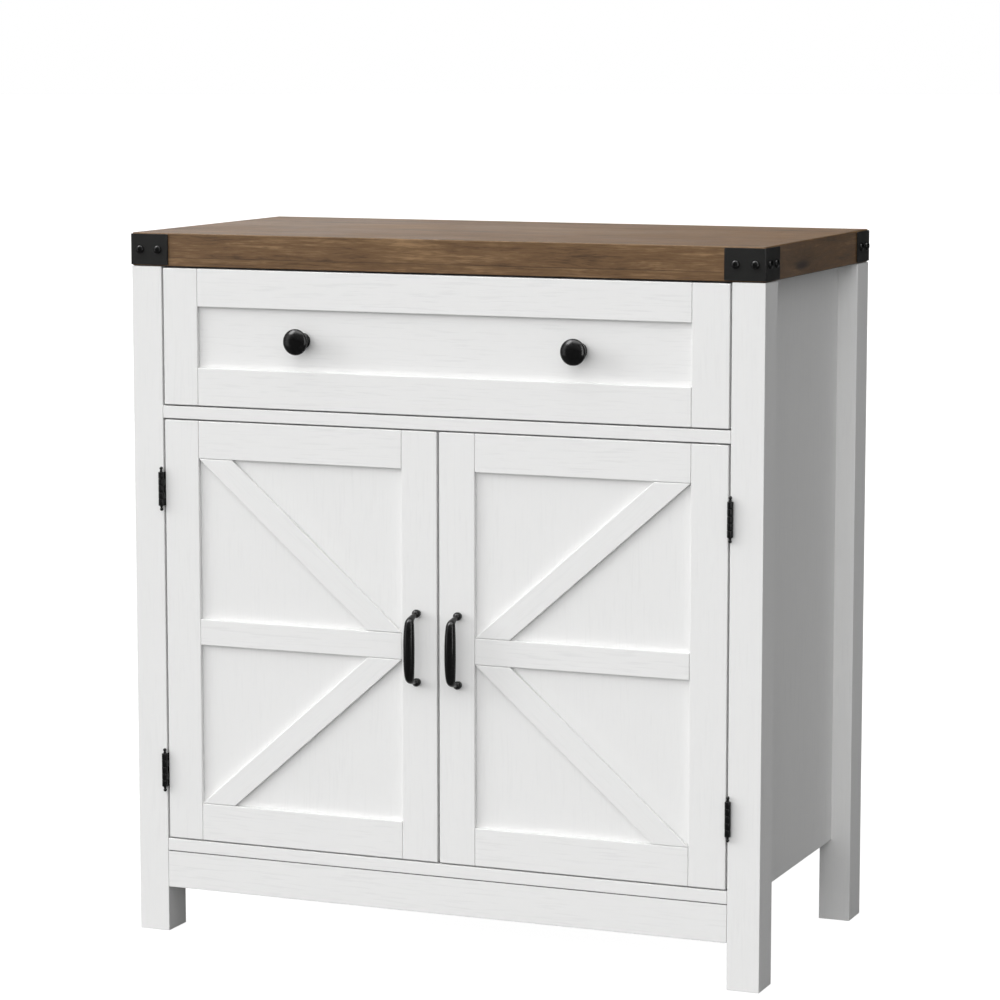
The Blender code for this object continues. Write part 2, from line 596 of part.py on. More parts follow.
def build_catch():
    """A double magnetic catch under the divider, behind where the doors meet."""
    wide, deep, tall = CATCH_SIZE
    y_low = DOOR_BACK + CATCH_GAP
    high = DIVIDER_LOW - TOUCH
    add_box("magnetic_catch", (-wide / 2, y_low, high - tall), (wide / 2, y_low + deep, high), "catch_plastic")


def main():
    """Build the whole sideboard."""
    build_carcass()
    for word, side in (("left", -1), ("right", 1)):
        build_bracket(f"corner_bracket_front_{word}", side, -1)
        build_bracket(f"corner_bracket_rear_{word}", side, 1)
        build_door(word, side)
    build_drawer()
    build_catch()


for old in list(bpy.data.objects):
    bpy.data.objects.remove(old, do_unlink=True)
MATERIALS = make_materials()
main()
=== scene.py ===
"""Finishes, fittings and studio for the sideboard buffet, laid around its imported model.

Everything is in metres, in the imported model's frame: +Z is up, the front faces -Y, and X runs
along the width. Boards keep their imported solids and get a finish; the worktop, brackets, hinges,
handles, knobs and catch are made again here with their fine shape, and the small fittings that
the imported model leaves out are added.
"""

import json
import logging
import math
from dataclasses import dataclass
from enum import Enum
from functools import partial, reduce
from typing import Iterable, Sequence

import bmesh
import bpy
from mathutils import Matrix, Vector


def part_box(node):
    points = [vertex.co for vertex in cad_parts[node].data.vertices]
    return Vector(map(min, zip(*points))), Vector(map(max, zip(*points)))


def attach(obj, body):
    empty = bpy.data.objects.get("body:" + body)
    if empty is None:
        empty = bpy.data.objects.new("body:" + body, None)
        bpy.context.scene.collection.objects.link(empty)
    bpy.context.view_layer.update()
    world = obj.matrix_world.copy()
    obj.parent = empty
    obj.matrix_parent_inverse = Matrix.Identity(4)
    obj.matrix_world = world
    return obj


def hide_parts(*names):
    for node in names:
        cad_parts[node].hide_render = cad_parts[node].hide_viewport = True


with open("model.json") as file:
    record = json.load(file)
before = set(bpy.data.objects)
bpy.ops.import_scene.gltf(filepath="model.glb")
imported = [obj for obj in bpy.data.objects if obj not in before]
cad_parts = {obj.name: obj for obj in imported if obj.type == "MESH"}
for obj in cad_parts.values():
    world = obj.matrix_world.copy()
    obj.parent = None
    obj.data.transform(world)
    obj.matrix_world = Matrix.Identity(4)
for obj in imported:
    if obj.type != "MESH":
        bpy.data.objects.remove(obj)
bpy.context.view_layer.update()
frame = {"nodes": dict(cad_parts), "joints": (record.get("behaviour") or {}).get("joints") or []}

log = logging.getLogger("sideboard")

Colour = tuple[float, float, float]
Pair = tuple[float, float]
Mesh = bpy.types.Mesh
Material = bpy.types.Material
Shape = bmesh.types.BMesh
Socket = bpy.types.NodeSocket
TOUCH = 0.0003            # left between two pieces that touch
SEED = 7                  # of every random turn
BROAD_FACE = 0.00006      # a face this large, in square metres, is shaded flat
MERGE = 1e-7              # points closer than this become one
SHARP = 35.0              # degrees above which an edge stays sharp, unless a piece says otherwise
UP = Vector((0.0, 0.0, 1.0))
OUT = Vector((0.0, -1.0, 0.0))    # straight out of the front


class Side(Enum):
    """One of the two sides, with its sign along X."""

    LEFT = -1
    RIGHT = 1

    @property
    def word(self) -> str:
        """The side's name as the pieces carry it."""
        return self.name.lower()


class Grain(Enum):
    """Which way a board's grain runs, as the turn about Y that brings it onto X."""

    LEVEL = 0.0
    UPRIGHT = math.pi / 2


class Recess(Enum):
    """What is sunk into the top of a fastener's head."""

    NONE = "none"
    CROSS = "cross"
    HEXAGON = "hexagon"


# ---------------------------------------------------------------------------
# Nodes
# ---------------------------------------------------------------------------


class Bench:
    """Adds and wires nodes in one shader or geometry tree."""

    def __init__(self, tree: bpy.types.NodeTree) -> None:
        """Work on one tree."""
        self.tree = tree

    def add(self, kind: str, inputs: dict | None = None, **settings: object) -> bpy.types.Node:
        """Add a node.

        Args:
            kind: the node's type name.
            inputs: sockets by name or place, each a value or another node's output.
            settings: the node's own properties.

        Returns:
            The new node.
        """
        node = self.tree.nodes.new(kind)
        for key, value in settings.items():
            setattr(node, key, value)
        for key, value in (inputs or {}).items():
            self.feed(node.inputs[key], value)
        return node

    def feed(self, socket: Socket, value: object) -> None:
        """Link a socket to an output, or set its value.

        Args:
            socket: the input to feed.
            value: another node's output, or a plain value.
        """
        if isinstance(value, Socket):
            self.tree.links.new(value, socket)
        else:
            socket.default_value = value

    def math(self, operation: str, first: object, second: object = 0.0) -> Socket:
        """Join two numbers by a Math node's operation."""
        return self.add("ShaderNodeMath", {0: first, 1: second}, operation=operation).outputs[0]

    def plus(self, *values: object) -> Socket:
        """Add numbers up."""
        return reduce(partial(self.math, "ADD"), values)

    def times(self, *values: object) -> Socket:
        """Multiply numbers."""
        return reduce(partial(self.math, "MULTIPLY"), values)

    def minus(self, first: object, second: object) -> Socket:
        """Take the second number from the first."""
        return self.math("SUBTRACT", first, second)

    def join(self, x: object = 0.0, y: object = 0.0, z: object = 0.0) -> Socket:
        """Make a vector of three numbers."""
        return self.add("ShaderNodeCombineXYZ", {0: x, 1: y, 2: z}).outputs[0]

    def split(self, vector: object) -> bpy.types.NodeOutputs:
        """Return a vector's three parts as sockets."""
        return self.add("ShaderNodeSeparateXYZ", {0: vector}).outputs

    def vector(self, operation: str, first: object, second: object) -> Socket:
        """Join two vectors by a Vector Math node's operation."""
        return self.add("ShaderNodeVectorMath", {0: first, 1: second}, operation=operation).outputs[0]

    def turned(self, vector: object, turn: Sequence[float]) -> Socket:
        """Turn a vector by angles about X, Y and Z."""
        return self.add("ShaderNodeMapping", {"Vector": vector, "Rotation": turn}).outputs[0]

    def noise(self, place: object, scale: object, detail: float = 2.0, rough: float = 0.5) -> Socket:
        """Read a noise from 0 to 1, with finer layers of a given count and strength."""
        inputs = {"Vector": place, "Scale": scale, "Detail": detail, "Roughness": rough}
        return self.add("ShaderNodeTexNoise", inputs).outputs[0]

    def step(self, value: object, low: float, high: float) -> Socket:
        """Rise smoothly from 0 at the low value to 1 at the high one."""
        inputs = {0: value, 1: low, 2: high}
        return self.add("ShaderNodeMapRange", inputs, interpolation_type="SMOOTHSTEP").outputs[0]

    def fall(self, value: object, low: float, high: float) -> Socket:
        """Fall smoothly from 1 at the low value to 0 at the high one."""
        return self.minus(1.0, self.step(value, low, high))

    def choose(self, share: object, first: object, second: object) -> Socket:
        """Blend two numbers, by the share of the second."""
        return self.add("ShaderNodeMix", {0: share, 2: first, 3: second}, data_type="FLOAT").outputs[0]

    def painted(self, instances: Socket, finish: Socket) -> Socket:
        """Turn instances into one plain mesh with a material."""
        solid = self.add("GeometryNodeRealizeInstances", {0: instances}).outputs[0]
        return self.add("GeometryNodeSetMaterial", {"Geometry": solid, "Material": finish}).outputs[0]

    def blend(self, first: object, second: object, mask: Socket, amount: float = 1.0) -> Socket:
        """Lay one colour over another.

        Args:
            first: the colour below, as numbers or a socket.
            second: the colour on top, as numbers or a socket.
            mask: where the second one shows.
            amount: how much of it shows there.

        Returns:
            The blended colour's socket.
        """
        share = mask if amount == 1.0 else self.times(mask, amount)
        below, above = ((*value, 1.0) if isinstance(value, tuple) else value for value in (first, second))
        return self.add("ShaderNodeMix", {0: share, 6: below, 7: above}, data_type="RGBA").outputs[2]


@dataclass(frozen=True)
class Port:
    """A named input or output of a node group."""

    name: str
    kind: str = "Float"
    default: object = 0.0


def make_group(name: str, kind: str, ins: Sequence[Port], outs: Sequence[Port]) -> tuple:
    """Start a node group with named inputs and outputs.

    Args:
        name: the group's name.
        kind: "Shader" or "Geometry".
        ins: its inputs.
        outs: its outputs.

    Returns:
        The group, its bench, its input node's outputs and its output node's inputs.
    """
    tree = bpy.data.node_groups.new(name, f"{kind}NodeTree")
    for port in ins:
        socket = tree.interface.new_socket(port.name, in_out="INPUT", socket_type=f"NodeSocket{port.kind}")
        if port.kind not in ("Geometry", "Material"):
            socket.default_value = port.default
    for port in outs:
        tree.interface.new_socket(port.name, in_out="OUTPUT", socket_type=f"NodeSocket{port.kind}")
    bench = Bench(tree)
    return tree, bench, bench.add("NodeGroupInput").outputs, bench.add("NodeGroupOutput").inputs


class Effects:
    """Shader node groups that several finishes share."""

    def __init__(self) -> None:
        """Build every group once."""
        self.grain = self._grain()
        self.edges = self._edges()
        self.dust = self._dust()
        self.handling = self._handling()

    @staticmethod
    def _grain() -> bpy.types.NodeTree:
        """Embossed strokes that run along X: their height and a mask of the deep ones."""
        ports = [Port("Vector", "Vector", (0.0, 0.0, 0.0)), Port("Along", "Float", 20.0),
                 Port("Across", "Float", 330.0)]
        results = [Port("Height"), Port("Stroke")]
        tree, bench, given, out = make_group("embossed_grain", "Shader", ports, results)
        sway = bench.times(bench.noise(given["Vector"], 9.0, 1.0), 0.004)
        place = bench.vector("ADD", given["Vector"], bench.join(y=sway, z=sway))
        stretch = bench.join(given["Along"], given["Across"], given["Across"])
        place = bench.vector("MULTIPLY", place, stretch)
        broad = bench.step(bench.noise(place, 1.0, 2.0, 0.55), 0.50, 0.68)
        fine = bench.step(bench.noise(place, 2.7, 2.0, 0.6), 0.48, 0.72)
        patch = bench.step(bench.noise(given["Vector"], 14.0, 1.0), 0.30, 0.62)
        deep = bench.times(broad, bench.plus(bench.times(patch, 0.6), 0.4))
        total = bench.plus(bench.times(deep, 0.7), bench.times(fine, 0.3))
        bench.feed(out["Height"], bench.minus(1.0, total))
        bench.feed(out["Stroke"], deep)
        return tree

    @staticmethod
    def _edges() -> bpy.types.NodeTree:
        """A broken mask on the softened edges of square pieces; most finishes lighten the edges there, as
        wear and a painted highlight.
        """
        ports = [Port("Amount", "Float", 1.0), Port("Grain", "Float", 90.0)]
        tree, bench, given, out = make_group("edge_wear", "Shader", ports, [Port("Edge")])
        here = bench.add("ShaderNodeTexCoord").outputs
        facing = [bench.math("ABSOLUTE", part) for part in bench.split(here["Normal"])]
        edge = bench.fall(reduce(partial(bench.math, "MAXIMUM"), facing), 0.90, 0.985)
        broken = bench.step(bench.noise(here["Object"], given["Grain"], 3.0), 0.38, 0.62)
        bench.feed(out["Edge"], bench.times(edge, broken, given["Amount"]))
        return tree

    @staticmethod
    def _dust() -> bpy.types.NodeTree:
        """A thin, patchy mask of dust on faces that look up."""
        ports = [Port("Amount", "Float", 1.0)]
        tree, bench, given, out = make_group("settled_dust", "Shader", ports, [Port("Dust")])
        here = bench.add("ShaderNodeTexCoord").outputs
        upward = bench.step(bench.split(here["Normal"])[2], 0.35, 0.95)
        patch = bench.step(bench.noise(here["Object"], 34.0, 4.0, 0.6), 0.35, 0.75)
        bench.feed(out["Dust"], bench.times(upward, patch, given["Amount"]))
        return tree

    @staticmethod
    def _handling() -> bpy.types.NodeTree:
        """Slow blotches from wiping and handling, from 0 to 1."""
        ports = [Port("Size", "Float", 8.0)]
        tree, bench, given, out = make_group("handling", "Shader", ports, [Port("Blotch")])
        here = bench.add("ShaderNodeTexCoord").outputs["Object"]
        bench.feed(out["Blotch"], bench.step(bench.noise(here, given["Size"], 3.0), 0.25, 0.75))
        return tree


# ---------------------------------------------------------------------------
# Finishes
# ---------------------------------------------------------------------------


def shaded(colour: Colour, share: float) -> Colour:
    """Darken a colour, or lighten it where the share is above 1."""
    return tuple(share * part for part in colour)


class Coat:
    """A material in the making."""

    def __init__(self, effects: Effects, name: str) -> None:
        """Begin a material with a plain Principled shader.

        Args:
            effects: the shared effects.
            name: the material's name.
        """
        self.effects = effects
        self.material = bpy.data.materials.new(name)
        self.material.use_nodes = True
        self.shader = self.material.node_tree.nodes["Principled BSDF"].inputs
        self.bench = Bench(self.material.node_tree)
        self.here = self.bench.add("ShaderNodeTexCoord").outputs

    def effect(self, name: str, **values: object) -> bpy.types.NodeOutputs:
        """Place a shared effect.

        Args:
            name: which of the effects.
            values: its inputs by name.

        Returns:
            The effect's outputs.
        """
        return self.bench.add("ShaderNodeGroup", values, node_tree=getattr(self.effects, name)).outputs

    def finish(self, colour: Socket, rough: Socket, height: Socket, depth: float,
               strength: float) -> Material:
        """Feed the shader.

        Args:
            colour: the base colour.
            rough: the roughness.
            height: the relief's height, from 0 to 1.
            depth: how deep the relief is.
            strength: how strongly it bends the light.

        Returns:
            The finished material.
        """
        inputs = {"Height": height, "Distance": depth, "Strength": strength}
        self.bench.feed(self.shader["Base Color"], colour)
        self.bench.feed(self.shader["Roughness"], rough)
        self.bench.feed(self.shader["Normal"], self.bench.add("ShaderNodeBump", inputs).outputs[0])
        return self.material


@dataclass(frozen=True)
class Laminate:
    """Matt laminate with strokes embossed along the board, and a painted shadow line under an upper edge
    where one is given.
    """

    name: str
    colour: Colour = (0.80, 0.80, 0.795)
    stroke_colour: Colour = (0.70, 0.70, 0.70)
    seam_colour: Colour = (0.06, 0.06, 0.06)
    roughness: float = 0.48
    turn: float = 0.0          # about Y, from the grain's own way to X
    stroke: float = 0.22       # how much of the stroke's colour shows
    relief: float = 0.00008    # depth of the embossing
    seam: float = 0.0          # height of an upper edge with a painted shadow line under it, or 0
    seam_wide: float = 0.0009

    def build(self, effects: Effects) -> Material:
        """Build the material.

        Args:
            effects: the shared effects.

        Returns:
            The material.
        """
        coat = Coat(effects, self.name)
        bench, here = coat.bench, coat.here["Object"]
        grain = coat.effect("grain", Vector=bench.turned(here, (0.0, self.turn, 0.0)))
        blotch = coat.effect("handling", Size=5.0)["Blotch"]
        edge = coat.effect("edges", Amount=0.5)["Edge"]
        colour = bench.blend(self.colour, self.stroke_colour, grain["Stroke"], self.stroke)
        colour = bench.blend(colour, shaded(self.colour, 0.97), blotch, 0.35)
        colour = bench.blend(colour, shaded(self.colour, 0.9), edge, 0.4)
        # painted shadow: a dark line just under the upper edge, standing for the shade in the seam
        if self.seam:
            lowest, highest = self.seam - self.seam_wide, self.seam - self.seam_wide / 2
            line = bench.step(bench.split(here)[2], lowest, highest)
            colour = bench.blend(colour, self.seam_colour, line, 0.92)
        rough = bench.plus(bench.times(grain["Stroke"], 0.12), bench.times(blotch, 0.06), self.roughness)
        return coat.finish(colour, rough, grain["Height"], self.relief, 0.8)


@dataclass(frozen=True)
class RusticOak:
    """Printed rustic oak: planks, streaks, knots and pores on the worktop's own layout."""

    name: str = "oak_laminate"
    dark: Colour = (0.060, 0.033, 0.016)
    middle: Colour = (0.146, 0.081, 0.036)
    light: Colour = (0.278, 0.168, 0.082)
    knot: Colour = (0.020, 0.012, 0.008)
    dust_colour: Colour = (0.42, 0.40, 0.37)
    plank_width: float = 0.0975
    roughness: float = 0.30
    specular: float = 0.30
    relief: float = 0.0002

    def build(self, effects: Effects) -> Material:
        """Build the material on the UV map, whose units are metres.

        Args:
            effects: the shared effects.

        Returns:
            The material.
        """
        coat = Coat(effects, self.name)
        coat.shader["Specular IOR Level"].default_value = self.specular
        bench = coat.bench
        along, across, _ = bench.split(bench.add("ShaderNodeUVMap", uv_map="lay").outputs[0])
        planks = bench.math("DIVIDE", across, self.plank_width)
        plank = bench.math("FLOOR", planks)
        chance = bench.add("ShaderNodeTexWhiteNoise", {"W": plank}, noise_dimensions="1D").outputs["Value"]
        along = bench.plus(along, bench.times(chance, 9.0))

        # Knots: the middles of some cells, which the streaks bend round.
        slow = bench.join(bench.times(along, 2.2), bench.times(across, 9.0))
        sway = bench.minus(bench.noise(slow, 1.0, 2.0), 0.5)
        cell = bench.join(bench.times(along, 3.4), bench.times(across, 16.0))
        inputs = {"Vector": cell, "Scale": 1.0}
        nearest = bench.add("ShaderNodeTexVoronoi", inputs, voronoi_dimensions="2D")
        pick = bench.step(bench.split(nearest.outputs["Color"])[0], 0.55, 0.60)
        distance = bench.plus(nearest.outputs["Distance"], bench.times(sway, 0.16))
        near = bench.times(bench.fall(distance, 0.05, 0.42), pick)
        heart = bench.times(bench.fall(distance, 0.02, 0.13), pick)
        bent = bench.plus(across, bench.times(sway, 0.016), bench.times(near, 0.009))

        def streak(stretch: float, pitch: float, detail: float) -> Socket:
            """Read streaks that are long along the plank and narrow across it."""
            return bench.noise(bench.join(bench.times(along, stretch), bench.times(bent, pitch), plank),
                               1.0, detail, 0.6)

        broad, medium, fine = streak(6.0, 46.0, 3.0), streak(17.0, 260.0, 3.0), streak(62.0, 720.0, 3.0)
        fleck = bench.step(streak(80.0, 520.0, 3.0), 0.60, 0.70)
        pore = bench.step(streak(60.0, 1500.0, 1.0), 0.60, 0.72)
        tone = bench.plus(bench.times(broad, 0.40), bench.times(medium, 0.34), bench.times(fine, 0.26),
                          bench.times(bench.minus(chance, 0.5), 0.08))
        wood = bench.blend(self.dark, self.middle, bench.step(tone, 0.34, 0.50))
        wood = bench.blend(wood, self.light, bench.step(tone, 0.49, 0.65))
        wood = bench.blend(wood, self.dark, fleck, 0.32)
        wood = bench.blend(wood, self.dark, bench.times(near, bench.step(medium, 0.35, 0.60)), 0.55)
        wood = bench.blend(wood, self.knot, heart, 0.9)
        wood = bench.blend(wood, self.dark, pore, 0.45)
        seam = bench.fall(bench.math("FRACT", planks), 0.004, 0.012)
        wood = bench.blend(wood, self.knot, seam, 0.55)

        # Dust, wear and a painted highlight on the edges, and faces that look down darkened to near black.
        dust = coat.effect("dust", Amount=0.10)["Dust"]
        wood = bench.blend(wood, self.dust_colour, dust)
        # edges lighter: wear and a painted highlight
        wood = bench.blend(wood, self.light, coat.effect("edges", Amount=0.55)["Edge"])
        downward = bench.times(bench.split(coat.here["Normal"])[2], -1.0)
        wood = bench.blend(wood, self.knot, bench.step(downward, 0.15, 0.60))
        blotch = coat.effect("handling", Size=6.0)["Blotch"]
        rough = bench.plus(bench.times(medium, 0.16), bench.times(blotch, 0.08), bench.times(dust, 0.6),
                           self.roughness)
        raised = bench.plus(bench.times(fine, 0.35), bench.times(medium, 0.35))
        height = bench.minus(raised, bench.times(bench.math("MAXIMUM", pore, seam), 0.5))
        return coat.finish(wood, rough, height, self.relief, 0.7)


@dataclass(frozen=True)
class PowderCoat:
    """Dark coat on metal, with a fine orange-peel surface."""

    name: str
    colour: Colour
    roughness: float
    specular: float
    worn_colour: Colour = (0.05, 0.05, 0.05)
    dust_colour: Colour = (0.30, 0.29, 0.27)
    peel: float = 1500.0       # bumps per metre
    relief: float = 0.00006
    wear: float = 0.6
    dust: float = 0.10

    def build(self, effects: Effects) -> Material:
        """Build the material.

        Args:
            effects: the shared effects.

        Returns:
            The material.
        """
        coat = Coat(effects, self.name)
        coat.shader["Specular IOR Level"].default_value = self.specular
        bench, here = coat.bench, coat.here["Object"]
        speck = bench.step(bench.noise(here, self.peel * 0.35, 3.0, 0.65), 0.35, 0.75)
        blotch = coat.effect("handling", Size=40.0)["Blotch"]
        edge = coat.effect("edges", Amount=self.wear, Grain=260.0)["Edge"]
        dust = coat.effect("dust", Amount=self.dust)["Dust"]
        shade = bench.blend(self.colour, shaded(self.colour, 0.7), speck, 0.5)
        # edges lighter: wear and a painted highlight
        shade = bench.blend(shade, self.worn_colour, edge, 0.5)
        shade = bench.blend(shade, self.dust_colour, dust)
        rough = bench.plus(bench.times(blotch, 0.10), bench.times(dust, 0.8), bench.times(edge, -0.10),
                           self.roughness)
        return coat.finish(shade, rough, bench.noise(here, self.peel, 2.0, 0.5), self.relief, 0.8)


@dataclass(frozen=True)
class ZincPlate:
    """Bright zinc plate with rolling marks along Y."""

    name: str = "zinc_steel"
    colour: Colour = (0.60, 0.61, 0.62)
    dull_colour: Colour = (0.42, 0.43, 0.44)
    roughness: float = 0.24
    relief: float = 0.00003

    def build(self, effects: Effects) -> Material:
        """Build the material.

        Args:
            effects: the shared effects.

        Returns:
            The material.
        """
        coat = Coat(effects, self.name)
        coat.shader["Metallic"].default_value = 1.0
        bench, here = coat.bench, coat.here["Object"]
        laid = bench.turned(here, (0.0, 0.0, math.pi / 2))
        grain = coat.effect("grain", Vector=laid, Along=30.0, Across=1400.0)
        spangle = bench.add("ShaderNodeTexVoronoi", {"Vector": here, "Scale": 260.0}).outputs["Color"]
        blotch = coat.effect("handling", Size=30.0)["Blotch"]
        shade = bench.blend(self.colour, self.dull_colour, bench.split(spangle)[0], 0.35)
        shade = bench.blend(shade, self.dull_colour, blotch, 0.3)
        rough = bench.plus(bench.times(grain["Stroke"], 0.15), bench.times(blotch, 0.12), self.roughness)
        return coat.finish(shade, rough, grain["Height"], self.relief, 0.6)


@dataclass(frozen=True)
class Hardboard:
    """Thin hardboard: white lacquer on one face, bare brown fibre on the other."""

    name: str
    bare_way: tuple[float, float, float]     # which way the bare face looks
    lacquer: Colour = (0.74, 0.74, 0.72)
    thin_lacquer: Colour = (0.64, 0.63, 0.60)
    fibre: Colour = (0.27, 0.165, 0.090)
    dark_fibre: Colour = (0.15, 0.088, 0.046)
    roughness: float = 0.52
    relief: float = 0.00018

    def build(self, effects: Effects) -> Material:
        """Build the material.

        Args:
            effects: the shared effects.

        Returns:
            The material.
        """
        coat = Coat(effects, self.name)
        bench, here = coat.bench, coat.here
        ways = {0: here["Normal"], 1: self.bare_way}
        facing = bench.add("ShaderNodeVectorMath", ways, operation="DOT_PRODUCT").outputs["Value"]
        bare = bench.step(facing, 0.45, 0.55)
        matted = bench.noise(here["Object"], 420.0, 4.0, 0.7)
        board = bench.blend(self.dark_fibre, self.fibre, bench.step(matted, 0.38, 0.66))
        board = bench.blend(board, self.dark_fibre, bench.noise(here["Object"], 22.0, 3.0, 0.6), 0.35)
        lacquer = bench.blend(self.lacquer, self.thin_lacquer, bench.step(matted, 0.45, 0.80), 0.25)
        blotch = coat.effect("handling", Size=7.0)["Blotch"]
        rough = bench.plus(bench.times(bare, 0.22), bench.times(blotch, 0.08), self.roughness)
        return coat.finish(bench.blend(lacquer, board, bare), rough, matted, self.relief, 0.6)


@dataclass(frozen=True)
class MouldedPlastic:
    """Light moulded plastic with a spark-eroded texture."""

    name: str
    colour: Colour = (0.62, 0.62, 0.60)
    roughness: float = 0.37
    relief: float = 0.00005

    def build(self, effects: Effects) -> Material:
        """Build the material.

        Args:
            effects: the shared effects.

        Returns:
            The material.
        """
        coat = Coat(effects, self.name)
        bench = coat.bench
        pits = bench.noise(coat.here["Object"], 1900.0, 2.0, 0.6)
        blotch = coat.effect("handling", Size=45.0)["Blotch"]
        edge = coat.effect("edges", Amount=0.5, Grain=300.0)["Edge"]
        shade = bench.blend(self.colour, shaded(self.colour, 0.88), blotch, 0.4)
        # edges lighter: wear and a painted highlight
        shade = bench.blend(shade, shaded(self.colour, 1.15), edge, 0.4)
        rough = bench.plus(bench.times(pits, 0.16), self.roughness)
        return coat.finish(shade, rough, pits, self.relief, 0.6)


# ---------------------------------------------------------------------------
# Mesh work
# ---------------------------------------------------------------------------


def smooth(mesh: Mesh, sharp: float) -> None:
    """Shade rounds smooth and broad faces flat, so that a round edge doesn't bend the light on a flat.

    Args:
        mesh: the mesh to shade.
        sharp: the angle in degrees above which an edge stays sharp.
    """
    mesh.shade_smooth()
    mesh.set_sharp_from_angle(angle=math.radians(sharp))
    for face in mesh.polygons:
        face.use_smooth = face.area < BROAD_FACE


def shape_mesh(bm: Shape, name: str, sharp: float = SHARP) -> Mesh:
    """Turn a bmesh into a closed mesh with outward faces.

    Args:
        bm: the shape; it is freed.
        name: the mesh's name.
        sharp: the angle in degrees above which an edge stays sharp.

    Returns:
        The mesh.
    """
    bmesh.ops.remove_doubles(bm, verts=bm.verts, dist=MERGE)
    bmesh.ops.recalc_face_normals(bm, faces=bm.faces)
    mesh = bpy.data.meshes.new(name)
    bm.to_mesh(mesh)
    bm.free()
    smooth(mesh, sharp)
    return mesh


def link_mesh(name: str, mesh: Mesh) -> bpy.types.Object:
    """Put a mesh in the scene as an object at the origin."""
    obj = bpy.data.objects.new(name, mesh)
    bpy.context.scene.collection.objects.link(obj)
    return obj


def carve(name: str, base: Mesh, adds: Iterable[Mesh], cuts: Iterable[Mesh], sharp: float = SHARP) -> Mesh:
    """Join closed meshes to a base and cut others from it.

    Args:
        name: the new mesh's name.
        base: the closed mesh to start from.
        adds: closed meshes to join.
        cuts: closed meshes to cut away.
        sharp: the angle in degrees above which an edge stays sharp.

    Returns:
        One closed mesh.
    """
    helpers = [link_mesh("work", base)]
    for meshes, operation in ((adds, "UNION"), (cuts, "DIFFERENCE")):
        for mesh in meshes:
            helpers.append(link_mesh("tool", mesh))
            step = helpers[0].modifiers.new("step", "BOOLEAN")
            step.operation = operation
            step.object = helpers[-1]
    graph = bpy.context.evaluated_depsgraph_get()
    made = bpy.data.meshes.new_from_object(helpers[0].evaluated_get(graph))
    made.name = name
    for helper in helpers:
        spare = helper.data
        bpy.data.objects.remove(helper)
        bpy.data.meshes.remove(spare)
    made.materials.clear()
    smooth(made, sharp)
    return made


def turned(profile: Sequence[Pair], axis: Vector, foot: Vector, steps: int) -> Shape:
    """Turn (radius, height) points about an axis.

    Args:
        profile: the points, from one end of the axis to the other.
        axis: which way the heights run.
        foot: where height 0 lies.
        steps: how many sides the round has.

    Returns:
        The closed shape.
    """
    bm = bmesh.new()
    verts = [bm.verts.new((radius, 0.0, height)) for radius, height in profile]
    edges = [bm.edges.new(pair) for pair in zip(verts, verts[1:])]
    bmesh.ops.spin(bm, geom=verts + edges, cent=(0, 0, 0), axis=(0, 0, 1),
                   angle=math.tau, steps=steps, use_merge=True)
    turn = UP.rotation_difference(axis).to_matrix().to_4x4()
    bmesh.ops.transform(bm, matrix=Matrix.Translation(foot) @ turn, verts=bm.verts)
    bmesh.ops.remove_doubles(bm, verts=bm.verts, dist=MERGE)
    return bm


def arc(centre: Pair, radius: float, start: float, end: float, steps: int) -> list[Pair]:
    """Points on an arc, angles in degrees.

    Args:
        centre: the arc's centre.
        radius: its radius.
        start: the first point's angle.
        end: the last point's angle.
        steps: how many pieces it has.

    Returns:
        The points, both ends included.
    """
    points = []
    for step in range(steps + 1):
        angle = math.radians(start + (end - start) * step / steps)
        points.append((centre[0] + radius * math.cos(angle), centre[1] + radius * math.sin(angle)))
    return points


def rounded(low: Pair, high: Pair, radius: float, steps: int = 5) -> list[Pair]:
    """Outline of a rectangle with round corners.

    Args:
        low: its lowest corner.
        high: its highest corner.
        radius: the corners' radius.
        steps: how many pieces each corner has.

    Returns:
        The outline's points, counter-clockwise.
    """
    (left, foot), (right, top) = (tuple(value + way * radius for value in corner)
                                  for corner, way in ((low, 1), (high, -1)))
    outline: list[Pair] = []
    for corner, middle in enumerate(((right, top), (left, top), (left, foot), (right, foot))):
        outline += arc(middle, radius, 90.0 * corner, 90.0 * (corner + 1), steps)
    return outline


def pressed(outline: Sequence[Pair], axis: str, low: float, high: float, edge: float = 0.0) -> Shape:
    """Raise an outline along X, Y or Z and soften its rims.

    Args:
        outline: the outline's points in the two other axes, in their order.
        axis: the axis to raise it along.
        low: where it starts on that axis.
        high: where it ends on that axis.
        edge: the width of the softened rims, or 0 for none.

    Returns:
        The closed shape.
    """
    def spot(pair: Pair, depth: float) -> tuple[float, float, float]:
        """Place an outline point at a depth."""
        one, two = pair
        return {"X": (depth, one, two), "Y": (one, depth, two), "Z": (one, two, depth)}[axis]

    bm = bmesh.new()
    face = bm.faces.new([bm.verts.new(spot(pair, low)) for pair in outline])
    grown = bmesh.ops.extrude_face_region(bm, geom=[face])["geom"]
    bmesh.ops.translate(bm, vec=Vector(spot((0.0, 0.0), high - low)),
                        verts=[item for item in grown if isinstance(item, bmesh.types.BMVert)])
    if edge:
        place = "XYZ".index(axis)
        rim = [e for e in bm.edges if abs(e.verts[0].co[place] - e.verts[1].co[place]) < MERGE]
        bmesh.ops.bevel(bm, geom=rim, offset=edge, segments=2, affect="EDGES", profile=0.5)
    return bm


